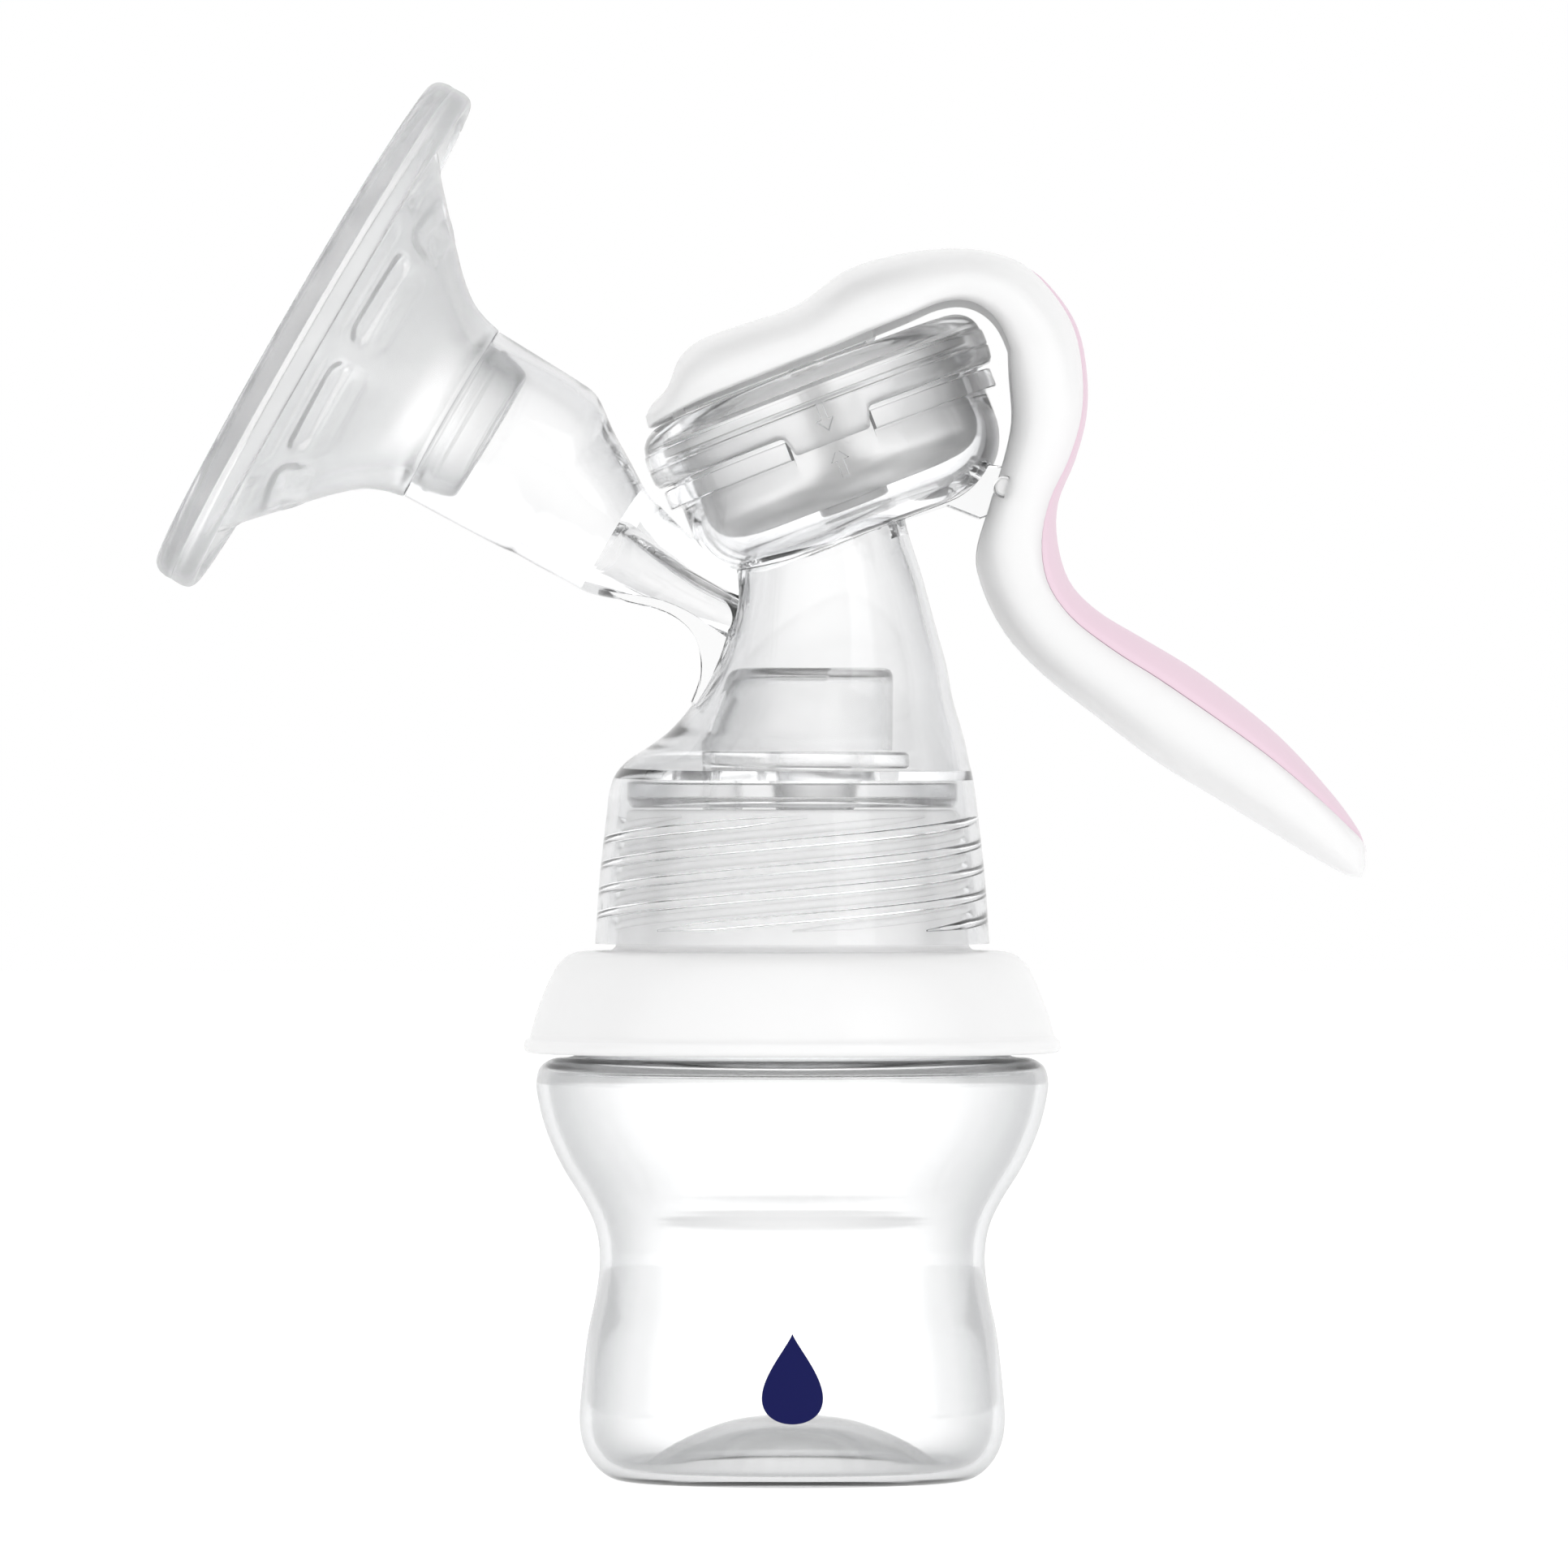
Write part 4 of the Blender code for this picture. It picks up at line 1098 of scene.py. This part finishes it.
def soft_grip(name, colour, shade, low, high):
    """Thermoplastic elastomer moulded over the grip: matt, soft to the light, finely sparked."""
    made, tree, coords = new_material(name)
    spark, tone = (
        add_node(tree, "ShaderNodeTexNoise", {"Scale": 1000 / size, "Detail": 2.0}, {"Vector": coords})
        for size in (SPARK_MM, TONE_MM)
    )
    mixed = add_node(
        tree, "ShaderNodeMix", {"data_type": "RGBA", 6: linear(colour), 7: linear(shade)},
        {0: tone.outputs["Fac"]},
    )
    satin = add_node(
        tree, "ShaderNodeMapRange", {"To Min": low, "To Max": high}, {"Value": spark.outputs["Fac"]}
    )
    bump = add_node(
        tree, "ShaderNodeBump", {"Strength": 0.2, "Distance": 0.02 * MM}, {"Height": spark.outputs["Fac"]}
    )
    shader = add_node(
        tree, "ShaderNodeBsdfPrincipled", {"IOR": 1.5, "Sheen Weight": 0.15, "Sheen Roughness": 0.5},
        {
            "Base Color": mixed.outputs[2], "Roughness": satin.outputs["Result"],
            "Normal": bump.outputs["Normal"],
        },
    )
    add_node(tree, "ShaderNodeOutputMaterial", links={"Surface": shader.outputs["BSDF"]})
    return made


pink_elastomer = soft_grip("sparked_pink_elastomer", "#EFD4E2", "#F1D9E5", low=0.5, high=0.65)
piece(
    "grip_inlay", inlay_strip(0.95, 0.05, 0, 0.25), BOTTLE_AXIS,
    pink_elastomer, "handle", "pink_soft_grip", "handle_inlay", sharp=50,
)

# ---------------------------------------------------------------- hinge pin
# Plain pin of white polypropylene, held in both cheeks of the handle and free in the body's lug.
# It is moulded in one, with eased ends so that it can be pushed in from the side.

pin_outline = [(0, -PIN_HALF), (PIN_R - 0.25, -PIN_HALF), (PIN_R, -PIN_HALF + 0.25)]
pin_outline += [(radius, -height) for radius, height in pin_outline[::-1]]
across_hinge = Matrix.Translation(hinge_at * MM) @ Matrix.Rotation(math.radians(90), 4, "X")
piece(
    "hinge_dowel", turned(pin_outline, 48), across_hinge,
    white_plastic, "handle", "white_polypropylene", "hinge_pin",
)

# ---------------------------------------------------------------- studio
# A white table and an even white room with greyer sides, so that clear edges show as grey lines,
# and soft boxes above. The camera looks square at the side of the pump.

CAMERA_AWAY = 2.2
VIEW_WIDTH = 0.21735
VIEW_MIDDLE = (0.0031, 0.0966)
SENSOR = 36.0
FLOOR_HALF, FLOOR_DROP = 6.0, 0.0002
FILL_ON_WHITE, FILL_BEHIND_CLEAR = 0.09, 1.05  # light added where rays leave white or milky plastic

scene = bpy.context.scene
camera_data = bpy.data.cameras.new("camera")
camera_data.sensor_width = SENSOR
camera_data.lens = SENSOR * CAMERA_AWAY / VIEW_WIDTH
camera_data.clip_start, camera_data.clip_end = 0.1, 30.0
camera = bpy.data.objects.new("camera", camera_data)
scene.collection.objects.link(camera)
camera.location = (VIEW_MIDDLE[0], -CAMERA_AWAY, VIEW_MIDDLE[1])
camera.rotation_euler = (math.radians(90), 0, 0)
scene.camera = camera

floor_paint, tree, coords = new_material("white_table")
speckle = add_node(tree, "ShaderNodeTexNoise", {"Scale": 30.0, "Detail": 2.0}, {"Vector": coords})
tone = add_node(
    tree, "ShaderNodeMix", {"data_type": "RGBA", 6: linear("#A8A8A8"), 7: linear("#A4A4A4")},
    {0: speckle.outputs["Fac"]},
)
path = add_node(tree, "ShaderNodeLightPath")
direct = add_node(
    tree, "ShaderNodeMath", {"operation": "MAXIMUM"},
    {0: path.outputs["Is Camera Ray"], 1: path.outputs["Is Transmission Ray"]},
)
glow = add_node(tree, "ShaderNodeMapRange", {"To Min": 0.65, "To Max": 0.95}, {"Value": direct.outputs[0]})
shader = add_node(
    tree, "ShaderNodeBsdfPrincipled",
    {"Roughness": 0.8, "Emission Color": (1, 1, 1, 1), "Specular IOR Level": 0.0},
    {"Base Color": tone.outputs[2], "Emission Strength": glow.outputs["Result"]},
)
add_node(tree, "ShaderNodeOutputMaterial", links={"Surface": shader.outputs["BSDF"]})
floor_mesh = bpy.data.meshes.new("table")
floor_mesh.from_pydata(
    [(x, y, -FLOOR_DROP) for x, y in ((-1, -1), (1, -1), (1, 1), (-1, 1))], [], [(0, 1, 2, 3)]
)
floor_mesh.transform(Matrix.Diagonal((FLOOR_HALF, FLOOR_HALF, 1, 1)))
floor_mesh.materials.append(floor_paint)
floor = bpy.data.objects.new("table", floor_mesh)
scene.collection.objects.link(floor)

world = bpy.data.worlds.new("white_room")
scene.world = world
world.use_nodes = True
tree = world.node_tree
tree.nodes.clear()
way = add_node(tree, "ShaderNodeTexCoord").outputs["Generated"]
axes = add_node(tree, "ShaderNodeSeparateXYZ", links={"Vector": way})
facing = add_node(tree, "ShaderNodeMath", {"operation": "ABSOLUTE"}, {0: axes.outputs["Y"]})
walls = add_node(tree, "ShaderNodeValToRGB", links={"Fac": facing.outputs[0]})
ramp = walls.color_ramp
ramp.interpolation = "EASE"
ramp.elements.remove(ramp.elements[1])
for position, level in ((0.0, 0.15), (0.1, 0.4), (0.24, 0.8), (0.5, 0.95), (0.9, 1.0), (1.0, 1.0)):
    stop = ramp.elements[0] if position == 0 else ramp.elements.new(position)
    stop.color = (level, level, level, 1)
path = add_node(tree, "ShaderNodeLightPath").outputs
seen = path["Is Camera Ray"]
shown = add_node(
    tree, "ShaderNodeMix", {"data_type": "RGBA", 7: (1, 1, 1, 1)}, {0: seen, 6: walls.outputs["Color"]}
)
on_white = add_node(tree, "ShaderNodeMath", {"operation": "MINIMUM", 1: 1.0}, {0: path["Diffuse Depth"]})
through = add_node(tree, "ShaderNodeMath", {"operation": "MINIMUM", 1: 1.0}, {0: path["Transmission Depth"]})
fill = add_node(
    tree, "ShaderNodeMapRange", {"To Min": FILL_ON_WHITE, "To Max": FILL_BEHIND_CLEAR},
    {"Value": through.outputs[0]},
)
strength = add_node(
    tree, "ShaderNodeMath", {"operation": "MULTIPLY_ADD", 2: 1.0},
    {0: on_white.outputs[0], 1: fill.outputs["Result"]},
)
background = add_node(
    tree, "ShaderNodeBackground", links={"Color": shown.outputs[2], "Strength": strength.outputs[0]}
)
add_node(tree, "ShaderNodeOutputWorld", links={"Surface": background.outputs["Background"]})

for name, at, size, power in (
    ("soft_box_over", (-0.1, -0.3, 1.0), (0.9, 0.6), 0.4),
    ("soft_box_front", (0.7, -0.9, 0.5), (0.5, 0.8), 1.0),
):
    lamp = bpy.data.lights.new(name, "AREA")
    lamp.shape = "RECTANGLE"
    lamp.size, lamp.size_y = size
    lamp.energy = power
    box = bpy.data.objects.new(name, lamp)
    scene.collection.objects.link(box)
    box.location = at
    box.rotation_euler = (Vector((0, 0, 0.1)) - Vector(at)).to_track_quat("-Z", "Y").to_euler()

scene.view_settings.view_transform = "Standard"
scene.cycles.max_bounces = 24
scene.cycles.transmission_bounces = 24
scene.cycles.transparent_max_bounces = 24
scene.cycles.diffuse_bounces = 6
scene.cycles.glossy_bounces = 8
